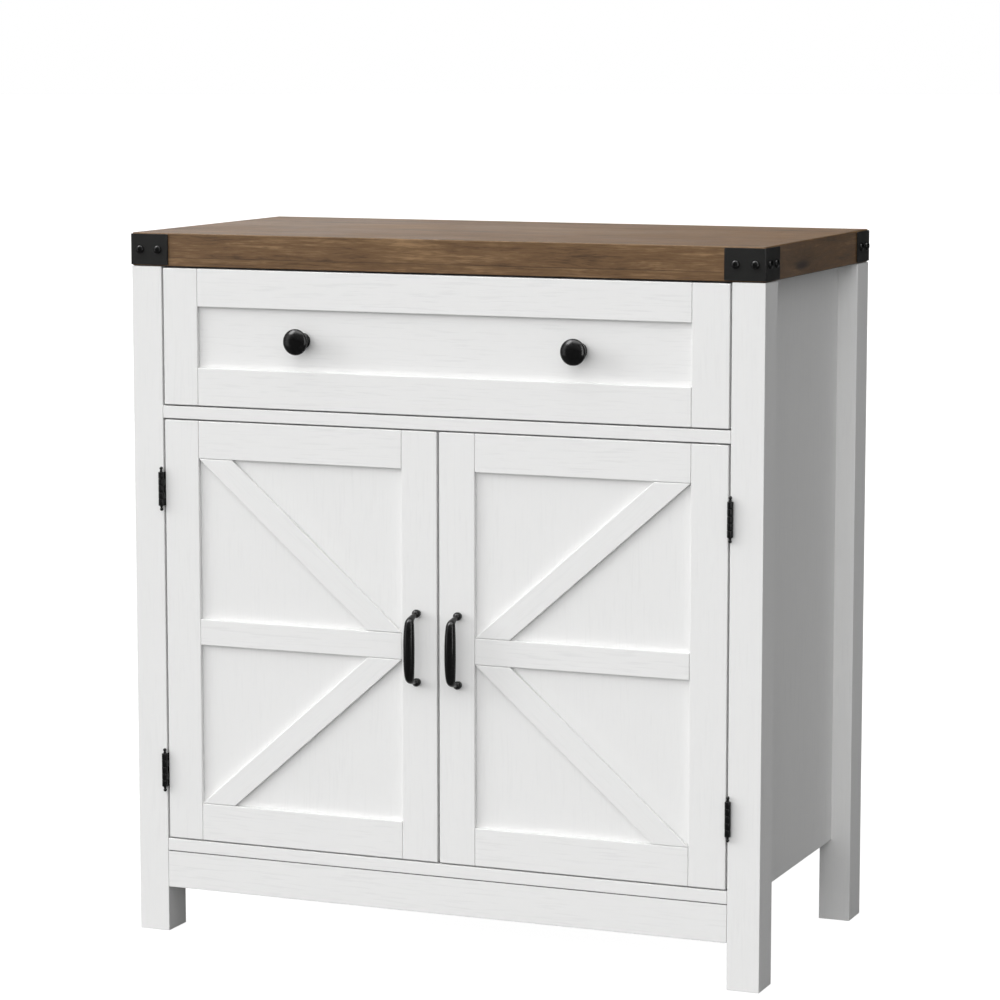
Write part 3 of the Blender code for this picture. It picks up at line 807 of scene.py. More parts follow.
def block(low: Sequence[float], high: Sequence[float], edge: float, segments: int = 3) -> Shape:
    """A block between two corners with round edges.

    Args:
        low: its lowest corner.
        high: its highest corner.
        edge: the radius of its edges.
        segments: how many pieces each round has.

    Returns:
        The closed shape.
    """
    bm = bmesh.new()
    low, high = Vector(low), Vector(high)
    bmesh.ops.create_cube(bm, size=1.0)
    bmesh.ops.scale(bm, vec=high - low, verts=bm.verts)
    bmesh.ops.translate(bm, vec=(low + high) / 2, verts=bm.verts)
    bmesh.ops.bevel(bm, geom=bm.edges[:], offset=edge, segments=segments, affect="EDGES", profile=0.5)
    return bm


def smooth_path(knots: Sequence[Sequence[float]], per_span: int) -> list[list[float]]:
    """Run a smooth line through knots of any number of values.

    Args:
        knots: the values to pass through.
        per_span: how many points each stretch between two knots gets.

    Returns:
        The points, both ends included.
    """
    padded = [knots[0], *knots, knots[-1]]
    line = []
    for index in range(len(knots) - 1):
        four = padded[index:index + 4]
        for step in range(per_span):
            t = step / per_span
            line.append([0.5 * (2 * b + (c - a) * t + (2 * a - 5 * b + 4 * c - d) * t * t
                                + (3 * b - a - 3 * c + d) * t ** 3) for a, b, c, d in zip(*four)])
    return line + [list(knots[-1])]


def add_piece(name: str, mesh: Mesh, material: Material, body: str,
              replaces: Sequence[str] = ()) -> bpy.types.Object:
    """Put a finished piece in the scene and tie it to its body.

    Args:
        name: the piece's name.
        mesh: its mesh, in place.
        material: its finish.
        body: the body it rides on.
        replaces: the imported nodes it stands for.

    Returns:
        The piece.
    """
    obj = link_mesh(name, mesh)
    mesh.materials.clear()
    mesh.materials.append(material)
    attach(obj, body)
    if replaces:
        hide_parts(*replaces)
    log.info("%s: %d faces, on %s", name, len(mesh.polygons), body)
    return obj


def add_bar(name: str, low: Sequence[float], high: Sequence[float], edge: float,
            material: Material) -> None:
    """Put a steel bar with soft edges on the cabinet, between two corners.

    Args:
        name: the bar's name.
        low: its lowest corner.
        high: its highest corner.
        edge: the radius of its edges.
        material: its finish.
    """
    add_piece(name, shape_mesh(block(low, high, edge, 2), name), material, "cabinet")


def dress(nodes: Iterable[str], material: Material) -> None:
    """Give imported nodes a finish.

    Args:
        nodes: the nodes' names.
        material: the finish.
    """
    for node in nodes:
        obj = frame["nodes"][node]
        if obj.material_slots:
            obj.material_slots[0].material = material
        else:
            obj.data.materials.append(material)
        log.info("%s: finished in %s", node, material.name)


# ---------------------------------------------------------------------------
# Repeated fittings
# ---------------------------------------------------------------------------


@dataclass(frozen=True)
class Seat:
    """Where a fastener sits and which way its head looks."""

    place: tuple[float, float, float]
    facing: tuple[float, float, float]


@dataclass(frozen=True)
class Head:
    """Sizes of a fastener's head."""

    radius: float
    rim: float                 # height of its straight wall
    dome: float                # height of the dome on top of the wall
    sink: float = 0.0004       # how far its foot goes into what it holds
    recess: Recess = Recess.NONE
    recess_radius: float = 0.0
    recess_depth: float = 0.0
    sides: int = 24


class FastenerTree:
    """Geometry nodes that set one head on every point of a carrier mesh.

    The head is cut a thousand times too large, where small cuts come out clean, and is shrunk
    again when it is set in place.
    """

    SHRINK = 0.001
    SLOT = 0.42        # width of a cross's arm, as a share of its reach
    SIZES = ("Radius", "Rim", "Dome", "Sink", "Recess Radius", "Recess Depth")

    def __init__(self, recess: Recess) -> None:
        """Build the tree for one kind of recess.

        Args:
            recess: what is sunk into the heads.
        """
        ports = [Port("Geometry", "Geometry")]
        ports += [Port(name, "Float", 1.0) for name in self.SIZES]
        ports += [Port("Sides", "Int", 24), Port("Seed", "Int", SEED), Port("Finish", "Material")]
        self.tree, bench, given, out = make_group(
            f"heads_{recess.value}", "Geometry", ports, [Port("Geometry", "Geometry")])
        large = {name: bench.math("DIVIDE", given[name], self.SHRINK) for name in self.SIZES}
        head = self._dome(bench, given["Sides"], large)
        if recess is not Recess.NONE:
            head = self._sunk(bench, head, recess, large)
        facing = bench.add("GeometryNodeInputNamedAttribute", {"Name": "facing"}, data_type="FLOAT_VECTOR")
        inputs = {"Vector": facing.outputs["Attribute"]}
        aim = bench.add("FunctionNodeAlignRotationToVector", inputs, axis="Z")
        spin = bench.add("FunctionNodeRandomValue", {"Min": 0.0, "Max": math.tau, "Seed": given["Seed"]})
        spin = next(socket for socket in spin.outputs if socket.type == "VALUE" and socket.enabled)
        turn = {"Rotation": aim.outputs[0], "Rotate By": bench.join(z=spin)}
        turned_head = bench.add("FunctionNodeRotateRotation", turn, rotation_space="LOCAL")
        inputs = {"Points": given["Geometry"], "Instance": head, "Rotation": turned_head.outputs[0],
                  "Scale": (self.SHRINK,) * 3}
        laid = bench.add("GeometryNodeInstanceOnPoints", inputs).outputs[0]
        bench.feed(out["Geometry"], bench.painted(laid, given["Finish"]))

    @staticmethod
    def _dome(bench: Bench, sides: Socket, large: dict) -> Socket:
        """Make a closed head: a flat foot, a straight wall and a dome."""
        ball = bench.add("GeometryNodeMeshUVSphere", {"Segments": sides, "Rings": 14, "Radius": 1.0})
        x, y, z = bench.split(bench.add("GeometryNodeInputPosition").outputs[0])
        high = bench.plus(bench.times(z, large["Dome"]), large["Rim"])
        low = bench.times(large["Sink"], -1.0)
        height = bench.choose(bench.math("GREATER_THAN", z, 0.01), low, high)
        moved = bench.join(bench.times(x, large["Radius"]), bench.times(y, large["Radius"]), height)
        inputs = {"Geometry": ball.outputs[0], "Position": moved}
        return bench.add("GeometryNodeSetPosition", inputs).outputs[0]

    def _sunk(self, bench: Bench, head: Socket, recess: Recess, large: dict) -> Socket:
        """Cut a recess into the top of a head."""
        centre = bench.join(z=bench.plus(large["Rim"], large["Dome"]))
        tall = bench.times(large["Recess Depth"], 2.0)
        cut = bench.add("GeometryNodeMeshBoolean", {"Mesh 1": head}, operation="DIFFERENCE")
        if recess is Recess.HEXAGON:
            inputs = {"Vertices": 6, "Radius": large["Recess Radius"], "Depth": tall}
            tools = [bench.add("GeometryNodeMeshCylinder", inputs).outputs["Mesh"]]
        else:
            long = bench.times(large["Recess Radius"], 2.0)
            thin = bench.times(large["Recess Radius"], self.SLOT)
            sizes = (bench.join(long, thin, tall), bench.join(thin, long, tall))
            tools = [bench.add("GeometryNodeMeshCube", {"Size": size}).outputs["Mesh"] for size in sizes]
        for tool in tools:
            lifted = bench.add("GeometryNodeTransform", {"Geometry": tool, "Translation": centre})
            bench.feed(cut.inputs["Mesh 2"], lifted.outputs[0])
        return cut.outputs["Mesh"]


class BallRowTree:
    """Geometry nodes that lay balls along the edges of a carrier mesh at a steady pitch."""

    def __init__(self) -> None:
        """Build the tree."""
        ports = [Port("Geometry", "Geometry"), Port("Ball Radius", "Float", 0.001),
                 Port("Pitch", "Float", 0.007), Port("Finish", "Material")]
        self.tree, bench, given, out = make_group("ball_rows", "Geometry", ports, ports[:1])
        line = bench.add("GeometryNodeMeshToCurve", {0: given["Geometry"]}).outputs[0]
        inputs = {"Curve": line, "Length": given["Pitch"]}
        spots = bench.add("GeometryNodeResampleCurve", inputs, mode="LENGTH").outputs[0]
        inputs = {"Segments": 12, "Rings": 8, "Radius": given["Ball Radius"]}
        ball = bench.add("GeometryNodeMeshUVSphere", inputs).outputs[0]
        laid = bench.add("GeometryNodeInstanceOnPoints", {"Points": spots, "Instance": ball}).outputs[0]
        bench.feed(out["Geometry"], bench.painted(laid, given["Finish"]))


def grow(name: str, carrier: Mesh, tree: bpy.types.NodeTree, values: dict, sharp: float = SHARP) -> Mesh:
    """Run a geometry tree on a carrier mesh and keep the plain result.

    Args:
        name: the new mesh's name.
        carrier: the mesh whose points or edges carry the pieces.
        tree: the geometry tree.
        values: the tree's inputs by name.
        sharp: the angle in degrees above which an edge stays sharp.

    Returns:
        The result as a plain mesh.
    """
    holder = link_mesh("carrier", carrier)
    modifier = holder.modifiers.new("repeat", "NODES")
    modifier.node_group = tree
    for item in tree.interface.items_tree:
        if item.item_type == "SOCKET" and item.in_out == "INPUT" and item.name in values:
            modifier[item.identifier] = values[item.name]
    holder.update_tag()
    graph = bpy.context.evaluated_depsgraph_get()
    made = bpy.data.meshes.new_from_object(holder.evaluated_get(graph))
    made.name = name
    bpy.data.objects.remove(holder)
    bpy.data.meshes.remove(carrier)
    smooth(made, sharp)
    return made


class Fasteners:
    """Sets rows of heads, one plain mesh for each body."""

    def __init__(self, zinc: Material) -> None:
        """Build one tree for each kind of recess.

        Args:
            zinc: the finish of plated heads.
        """
        self.zinc = zinc
        self.trees = {recess: FastenerTree(recess).tree for recess in Recess}

    def set_zinc(self, name: str, seats: Sequence[Seat], head: Head, body: str) -> bpy.types.Object:
        """Set one zinc-plated head on every seat; see set_heads."""
        return self.set_heads(name, seats, head, self.zinc, body)

    def set_heads(self, name: str, seats: Sequence[Seat], head: Head, material: Material,
                  body: str) -> bpy.types.Object:
        """Set one head on every seat.

        Args:
            name: the piece's name.
            seats: where the heads go.
            head: their sizes.
            material: their finish.
            body: the body they ride on.

        Returns:
            The piece that holds all of them.
        """
        carrier = bpy.data.meshes.new("seats")
        carrier.from_pydata([seat.place for seat in seats], [], [])
        facing = carrier.attributes.new("facing", "FLOAT_VECTOR", "POINT")
        for item, seat in zip(facing.data, seats):
            item.vector = seat.facing
        values = {"Radius": head.radius, "Rim": head.rim, "Dome": head.dome, "Sink": head.sink,
                  "Recess Radius": head.recess_radius, "Recess Depth": head.recess_depth,
                  "Sides": head.sides, "Seed": SEED, "Finish": material}
        mesh = grow(name, carrier, self.trees[head.recess], values)
        return add_piece(name, mesh, material, body)


# ---------------------------------------------------------------------------
# Sub-assemblies
# ---------------------------------------------------------------------------


@dataclass(frozen=True)
class Finishes:
    """Every finish of the sideboard, built once."""

    level: Material
    seamed: Material
    upright: Material
    rising: Material
    falling: Material
    oak: Material
    bracket: Material
    hardware: Material
    zinc: Material
    back_board: Material
    drawer_board: Material
    box_paper: Material
    catch: Material
    cap: Material


def brace_angle() -> float:
    """Angle in radians between a brace and the level, read from its box and its level cut."""
    low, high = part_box("door_left_brace_upper")
    return math.atan2(high.z - low.z, high.x - low.x - Door.brace_cut)


def build_finishes() -> Finishes:
    """Build every finish.

    Returns:
        The finishes.
    """
    effects = Effects()
    lean = brace_angle()
    under_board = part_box("apron_front")[1].z
    recipes = {
        "level": Laminate("white_laminate_level", turn=Grain.LEVEL.value, stroke=0.50),
        # the apron gets a painted shadow line under its upper edge, at the seam with the bottom board
        "seamed": Laminate("white_laminate_seamed", turn=Grain.LEVEL.value, stroke=0.50, seam=under_board),
        "upright": Laminate("white_laminate_upright", turn=Grain.UPRIGHT.value),
        "rising": Laminate("white_laminate_rising", turn=lean),
        "falling": Laminate("white_laminate_falling", turn=-lean),
        "oak": RusticOak(),
        "bracket": PowderCoat("bracket_coat", (0.0105, 0.0105, 0.0100), 0.45, 0.19),
        "hardware": PowderCoat("black_coat", (0.0022, 0.0022, 0.0022), 0.15, 0.24,
                               peel=900.0, relief=0.00001, wear=0.2, dust=0.03),
        "zinc": ZincPlate(),
        "back_board": Hardboard("back_hardboard", (0.0, 1.0, 0.0)),
        "drawer_board": Hardboard("drawer_hardboard", (0.0, 0.0, -1.0)),
        "box_paper": Laminate("box_paper", (0.73, 0.73, 0.72), (0.66, 0.66, 0.65),
                              roughness=0.56, stroke=0.25),
        "catch": MouldedPlastic("catch_plastic"),
        "cap": MouldedPlastic("white_cap", (0.78, 0.78, 0.77), 0.32),
    }
    return Finishes(**{use: recipe.build(effects) for use, recipe in recipes.items()})


@dataclass
class Worktop:
    """The thick wood-look slab, with its face laid out along the grain."""

    edge: float = 0.0012
    wrap_gap: float = 0.31      # how far along the print the front and rear edges start
    end_gap: float = 2.0        # and the two ends
    rise: float = 0.002         # from a plank's edge to the slab's underside, on the print

    def build(self, finishes: Finishes) -> None:
        """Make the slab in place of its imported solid.

        Args:
            finishes: the finishes.
        """
        low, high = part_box("worktop")
        mesh = shape_mesh(block(low, high, self.edge, 4), "worktop_slab", 50.0)
        self._lay(mesh, low.z)
        add_piece("worktop_slab", mesh, finishes.oak, "cabinet", ["worktop"])

    def _lay(self, mesh: Mesh, foot: float) -> None:
        """Lay the print in metres: along X on the faces and long edges, along Y on the ends."""
        layer = mesh.uv_layers.new(name="lay")
        for face in mesh.polygons:
            ways = [abs(part) for part in face.normal]
            widest = ways.index(max(ways))
            for loop in face.loop_indices:
                spot = mesh.vertices[mesh.loops[loop].vertex_index].co
                tall = spot.z - foot + self.rise
                if widest == 2:
                    pair = (spot.x, spot.y)
                elif widest == 1:
                    pair = (spot.x + self.wrap_gap, math.copysign(0.5, face.normal.y) + tall)
                else:
                    pair = (spot.y + self.end_gap, math.copysign(1.0, face.normal.x) + tall)
                layer.data[loop].uv = pair


@dataclass
class Brackets:
    """Four bent plates on the worktop's corners, each with domed studs."""

    leg: float = 0.050
    metal: float = 0.0015
    height: float = 0.037
    bend: float = 0.0022        # outside radius of the bend
    corner: float = 0.0016      # round on the free ends
    rim: float = 0.0003
    stud_places: Pair = (0.0130, 0.0365)
    stud: Head = Head(radius=0.0050, rim=0.0010, dome=0.0024, recess=Recess.HEXAGON,
                      recess_radius=0.0019, recess_depth=0.0011, sides=32)

    def build(self, finishes: Finishes, fasteners: Fasteners) -> None:
        """Make the plates and their studs.

        Args:
            finishes: the finishes.
            fasteners: sets the studs.
        """
        low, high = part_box("worktop")
        middle = (low.z + high.z) / 2
        proud = TOUCH + self.metal
        seats: list[Seat] = []
        for side in Side:
            for word, end in (("front", -1), ("rear", 1)):
                y = low.y - proud if end < 0 else high.y + proud
                corner = Vector((side.value * (high.x + proud), y, middle))
                name = f"corner_bracket_{word}_{side.word}"
                mesh = shape_mesh(self._plate(corner, side.value, end), f"{name}_plate", 32.0)
                add_piece(f"{name}_plate", mesh, finishes.bracket, "cabinet", [name])
                for reach in self.stud_places:
                    on_x = (corner.x, corner.y - end * reach, middle)
                    on_y = (corner.x - side.value * reach, corner.y, middle)
                    seats += [Seat(on_x, (side.value, 0, 0)), Seat(on_y, (0, end, 0))]
        fasteners.set_heads("corner_bracket_studs", seats, self.stud, finishes.hardware,
                            "cabinet")

    def _plate(self, corner: Vector, side: int, end: int) -> Shape:
        """Bend a flat strip with round ends about the corner."""
        quarter = self.bend * math.pi / 2
        flat = self.leg - self.bend
        inward = [self.corner * (1 - math.cos(math.radians(a))) for a in range(0, 91, 15)]
        stops = [flat + quarter / 2 - d for d in inward] + [flat * 0.5 + quarter / 2]
        turning = [quarter / 2 * (1 - step / 4) for step in range(5)]
        marks = stops + turning
        marks += [-mark for mark in reversed(marks[:-1])]
        bm = bmesh.new()
        skins: list[list[list[bmesh.types.BMVert]]] = []
        for depth in (0.0, self.metal):
            rows = []
            for mark in marks:
                from_end = flat + quarter / 2 - abs(mark)
                drop = 0.0
                if from_end < self.corner:
                    short = self.corner - from_end
                    drop = self.corner - math.sqrt(max(0.0, self.corner ** 2 - short ** 2))
                u, v = self._bent(mark, depth, quarter)
                tall = self.height / 2 - drop
                rows.append([bm.verts.new((corner.x - side * u, corner.y - end * v, corner.z + z))
                             for z in (-tall, tall)])
            skins.append(rows)
        outer, inner = skins
        for index in range(len(marks) - 1):
            for rows in skins:
                (one, two), (four, three) = rows[index:index + 2]
                bm.faces.new((one, two, three, four))
            for level in (0, 1):
                bm.faces.new((outer[index][level], outer[index + 1][level],
                              inner[index + 1][level], inner[index][level]))
        for index in (0, -1):
            bm.faces.new((outer[index][0], outer[index][1], inner[index][1], inner[index][0]))
        bmesh.ops.recalc_face_normals(bm, faces=bm.faces)
        sharp = math.radians(60)
        rims = [edge for edge in bm.edges if edge.calc_face_angle(0.0) > sharp]
        bmesh.ops.bevel(bm, geom=rims, offset=self.rim, segments=2, affect="EDGES", profile=0.5)
        return bm

    def _bent(self, mark: float, depth: float, quarter: float) -> Pair:
        """Place a point of the strip, measured from the bend's middle, around the corner."""
        half = quarter / 2
        if abs(mark) <= half:
            angle = math.radians(45) + mark / self.bend
            reach = self.bend - depth
            return self.bend - reach * math.sin(angle), self.bend - reach * math.cos(angle)
        along = self.bend + abs(mark) - half
        return (depth, along) if mark > 0 else (along, depth)


@dataclass
class Carcass:
    """Posts, panels and boards, with the fittings that hold them."""

    pin: Head = Head(radius=0.0025, rim=0.0072, dome=0.0006, sink=0.0020, sides=20)
    pin_collar: Head = Head(radius=0.0046, rim=0.0008, dome=0.0003)
    pin_inset: float = 0.045        # a pin's place from the shelf's front or rear edge
    cam: Head = Head(radius=0.0072, rim=0.0003, dome=0.0003, sink=0.0006, recess=Recess.CROSS,
                     recess_radius=0.0036, recess_depth=0.0005, sides=28)
    cam_inset: float = 0.030        # a cam's place from the board's end
    cam_from_front: float = 0.075
    cam_from_rear: float = 0.055
    back_screw: Head = Head(radius=0.0036, rim=0.0005, dome=0.0013, recess=Recess.CROSS,
                            recess_radius=0.0019, recess_depth=0.0010, sides=20)
    back_pitch: float = 0.118       # widest space between two screws of the back
    back_inset: float = 0.0075

    LEVEL = ("divider_board", "bottom_board", "rear_rail", "shelf")
    UPRIGHT = ("post_front_left", "post_front_right", "post_rear_left", "post_rear_right",
               "side_panel_left", "side_panel_right")

    def build(self, finishes: Finishes, fasteners: Fasteners) -> None:
        """Finish the boards and add their fittings.

        Args:
            finishes: the finishes.
            fasteners: sets the fittings.
        """
        dress(self.LEVEL, finishes.level)
        # the apron's finish paints a shadow line under its upper edge
        dress(["apron_front"], finishes.seamed)
        dress(self.UPRIGHT, finishes.upright)
        dress(["back_panel"], finishes.back_board)
        self._shelf_pins(fasteners)
        self._cams(finishes, fasteners)
        self._back_screws(fasteners)

    def _shelf_pins(self, fasteners: Fasteners) -> None:
        """Four pins under the shelf, each with a collar on the side."""
        low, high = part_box("shelf")
        seats = []
        for side in Side:
            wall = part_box(f"side_panel_{side.word}")
            face = wall[0].x if side is Side.RIGHT else wall[1].x
            for y in (low.y + self.pin_inset, high.y - self.pin_inset):
                seats.append(Seat((face, y, low.z - self.pin.radius - TOUCH), (-side.value, 0, 0)))
        fasteners.set_zinc("shelf_pins", seats, self.pin, "cabinet")
        fasteners.set_zinc("shelf_pin_collars", seats, self.pin_collar, "cabinet")

    def _cams(self, finishes: Finishes, fasteners: Fasteners) -> None:
        """Cam locks under the bottom board, and capped ones under the divider."""
        for board, name, finish, slot in (
                ("bottom_board", "bottom_board_cams", finishes.zinc, "zinc_steel"),
                ("divider_board", "divider_board_caps", finishes.cap, "catch_plastic")):
            low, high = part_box(board)
            depths = (low.y + self.cam_from_front, high.y - self.cam_from_rear)
            seats = [Seat((side.value * (high.x - self.cam_inset), y, low.z), (0, 0, -1))
                     for side in Side for y in depths]
            fasteners.set_heads(name, seats, self.cam, finish, "cabinet")

    def _back_screws(self, fasteners: Fasteners) -> None:
        """Screws round the back's rim and along the divider."""
        low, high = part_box("back_panel")
        left, right = low.x + self.back_inset, high.x - self.back_inset
        foot, head = low.z + self.back_inset, high.z - self.back_inset
        divider = sum(corner.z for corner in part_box("divider_board")) / 2
        across = max(2, math.ceil((right - left) / self.back_pitch))
        seats = []
        for level in (foot, divider, head):
            for step in range(across + 1):
                seats.append(Seat((left + (right - left) * step / across, high.y, level), (0, 1, 0)))
        upward = max(2, math.ceil((divider - foot) / self.back_pitch))
        for step in range(1, upward):
            for x in (left, right):
                seats.append(Seat((x, high.y, foot + (divider - foot) * step / upward), (0, 1, 0)))
        fasteners.set_zinc("back_panel_screws", seats, self.back_screw, "cabinet")


@dataclass
class Hinge:
    """A butt hinge with a round barrel: a leaf on the post and a leaf on the door's edge."""

    knuckles: int = 5
    knuckle_radius: float = 0.0036
    pin_radius: float = 0.0015
    bore_radius: float = 0.0018
    metal: float = 0.0008
    gap: float = 0.0003
    finial_height: float = 0.0065
    finial_radius: float = 0.0021
    knuckle_edge: float = 0.00045
    leaf_corner: float = 0.0020
    hole_radius: float = 0.0024
    hole_share: float = 0.27     # a screw's place from the middle, as a share of the height
    hole_depth: float = 0.0068   # a screw's place in front of the leaf's far edge
    hole_cut: float = 0.002      # how far the cut of a hole runs to each side
    neck: float = 0.0006         # of a finial, between the barrel and the ball
    screw: Head = Head(radius=0.0022, rim=0.00002, dome=0.00008, sink=0.0007, recess=Recess.CROSS,
                       recess_radius=0.0012, recess_depth=0.0005, sides=20)
    steps: int = 40

    def spans(self, height: float) -> list[Pair]:
        """Low and high ends of each knuckle from the barrel's lower end."""
        length = (height - (self.knuckles - 1) * self.gap) / self.knuckles
        return [(i * (length + self.gap), i * (length + self.gap) + length) for i in range(self.knuckles)]

    def build(self, side: Side, level: str, finishes: Finishes) -> dict[str, list[Seat]]:
        """Make both leaves.

        Args:
            side: which door the hinge carries.
            level: "upper" or "lower".
            finishes: the finishes.

        Returns:
            The seats of its screws by body.
        """
        name = f"hinge_{side.word}_{level}"
        joint = next(j for j in frame["joints"] if j["name"] == f"door_{side.word}_hinge")
        axis_x, axis_y = joint["pos_m"][0], joint["pos_m"][1]
        low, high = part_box(f"{name}_post_leaf")
        foot, height = low.z + self.finial_height, high.z - low.z - 2 * self.finial_height
        post_face = min(abs(corner.x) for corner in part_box(f"post_front_{side.word}"))
        door_face = max(abs(corner.x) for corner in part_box(f"door_{side.word}_panel"))
        centre = Vector((axis_x, axis_y, foot))
        seats: dict[str, list[Seat]] = {}
        for leaf, own_first, near, inward in (("post", 0, post_face - TOUCH - self.metal, True),
                                              ("door", 1, door_face + TOUCH, False)):
            own = [i for i in range(self.knuckles) if i % 2 == own_first]
            face = side.value * (near if inward else near + self.metal)
            looks = -side.value if inward else side.value
            holes = [(face, high.y - self.hole_depth, foot + height * (0.5 + share))
                     for share in (-self.hole_share, self.hole_share)]
            mesh = self._leaf(f"{name}_{leaf}", own, side, near, centre, height, high.y, holes, looks)
            body = "cabinet" if leaf == "post" else f"door_{side.word}"
            add_piece(f"{name}_{leaf}", mesh, finishes.hardware, body,
                      [f"{name}_{leaf}_leaf"])
            seats.setdefault(body, []).extend(Seat(hole, (looks, 0, 0)) for hole in holes)
        return seats

    def _leaf(self, name: str, own: Sequence[int], side: Side, near: float, centre: Vector, height: float,
              far: float, holes: Sequence[Sequence[float]], looks: int) -> Mesh:
        """One leaf: its comb plate, its own knuckles, and its screw holes."""
        comb = self._comb(own, height, far - centre.y)
        outline = [(centre.y + depth, centre.z + tall) for depth, tall in comb]
        ends = sorted((side.value * near, side.value * (near + self.metal)))
        plate = shape_mesh(pressed(outline, "X", *ends), f"{name}_plate")
        if own[0] == 0:
            profiles, word = [self._barrel(own, height)], "barrel"
        else:
            profiles, word = [self._ring(*self.spans(height)[i]) for i in own], "ring"
        rolls = [shape_mesh(turned(profile, UP, centre, self.steps), f"{name}_{word}")
                 for profile in profiles]
        bore = [(0, -self.hole_cut), (self.hole_radius, -self.hole_cut),
                (self.hole_radius, self.hole_cut), (0, self.hole_cut)]
        way = Vector((looks, 0, 0))
        cuts = [shape_mesh(turned(bore, way, Vector(hole), 24), f"{name}_hole") for hole in holes]
        return carve(name, plate, rolls, cuts, 38.0)

    def _comb(self, own: Sequence[int], height: float, far: float) -> list[Pair]:
        """Outline of a leaf in (depth, height): tabs reach the axis at its own knuckles."""
        near = self.knuckle_radius + self.gap
        round_off = self.leaf_corner
        points = arc((far - round_off, round_off), round_off, -90, 0, 5)
        points += arc((far - round_off, height - round_off), round_off, 0, 90, 5)
        for index, (low, high) in reversed(list(enumerate(self.spans(height)))):
            inner = 0.0 if index in own else near
            grow_by = 0.0 if index in own else self.gap
            points.append((inner, height if index == self.knuckles - 1 else high + grow_by))
            points.append((inner, 0.0 if index == 0 else low - grow_by))
        return points

    def _barrel(self, own: Sequence[int], height: float) -> list[Pair]:
        """Profile of the pin with its knuckles and finials."""
        spans, edge = self.spans(height), self.knuckle_edge
        ball, waist = self.finial_radius, self.pin_radius * 1.2
        profile = [(0.0, -self.finial_height)]
        profile += arc((0.0, ball - self.finial_height), ball, -80, 50, 9)
        profile += [(self.pin_radius, 2 * ball - self.finial_height), (waist, -self.neck), (waist, 0.0)]
        for index in own:
            low, high = spans[index]
            profile += [(self.knuckle_radius - edge, low), *self._wall(low, high),
                        (self.knuckle_radius - edge, high)]
            if index != own[-1]:
                profile += [(self.pin_radius, high), (self.pin_radius, spans[index + 2][0])]
        top = height + self.finial_height
        profile += [(waist, height), (waist, height + self.neck), (self.pin_radius, top - 2 * ball)]
        profile += arc((0.0, top - ball), ball, -50, 80, 9)
        return profile + [(0.0, top)]

    def _wall(self, low: float, high: float) -> list[Pair]:
        """Profile of a knuckle's outer wall with its two round edges."""
        edge = self.knuckle_edge
        wide = self.knuckle_radius - edge
        return arc((wide, low + edge), edge, -60, 0, 3) + arc((wide, high - edge), edge, 0, 60, 3)

    def _ring(self, low: float, high: float) -> list[Pair]:
        """Profile of one knuckle that turns on the pin."""
        wide = self.knuckle_radius - self.knuckle_edge
        return [(self.bore_radius, low), (wide, low), *self._wall(low, high),
                (wide, high), (self.bore_radius, high), (self.bore_radius, low)]


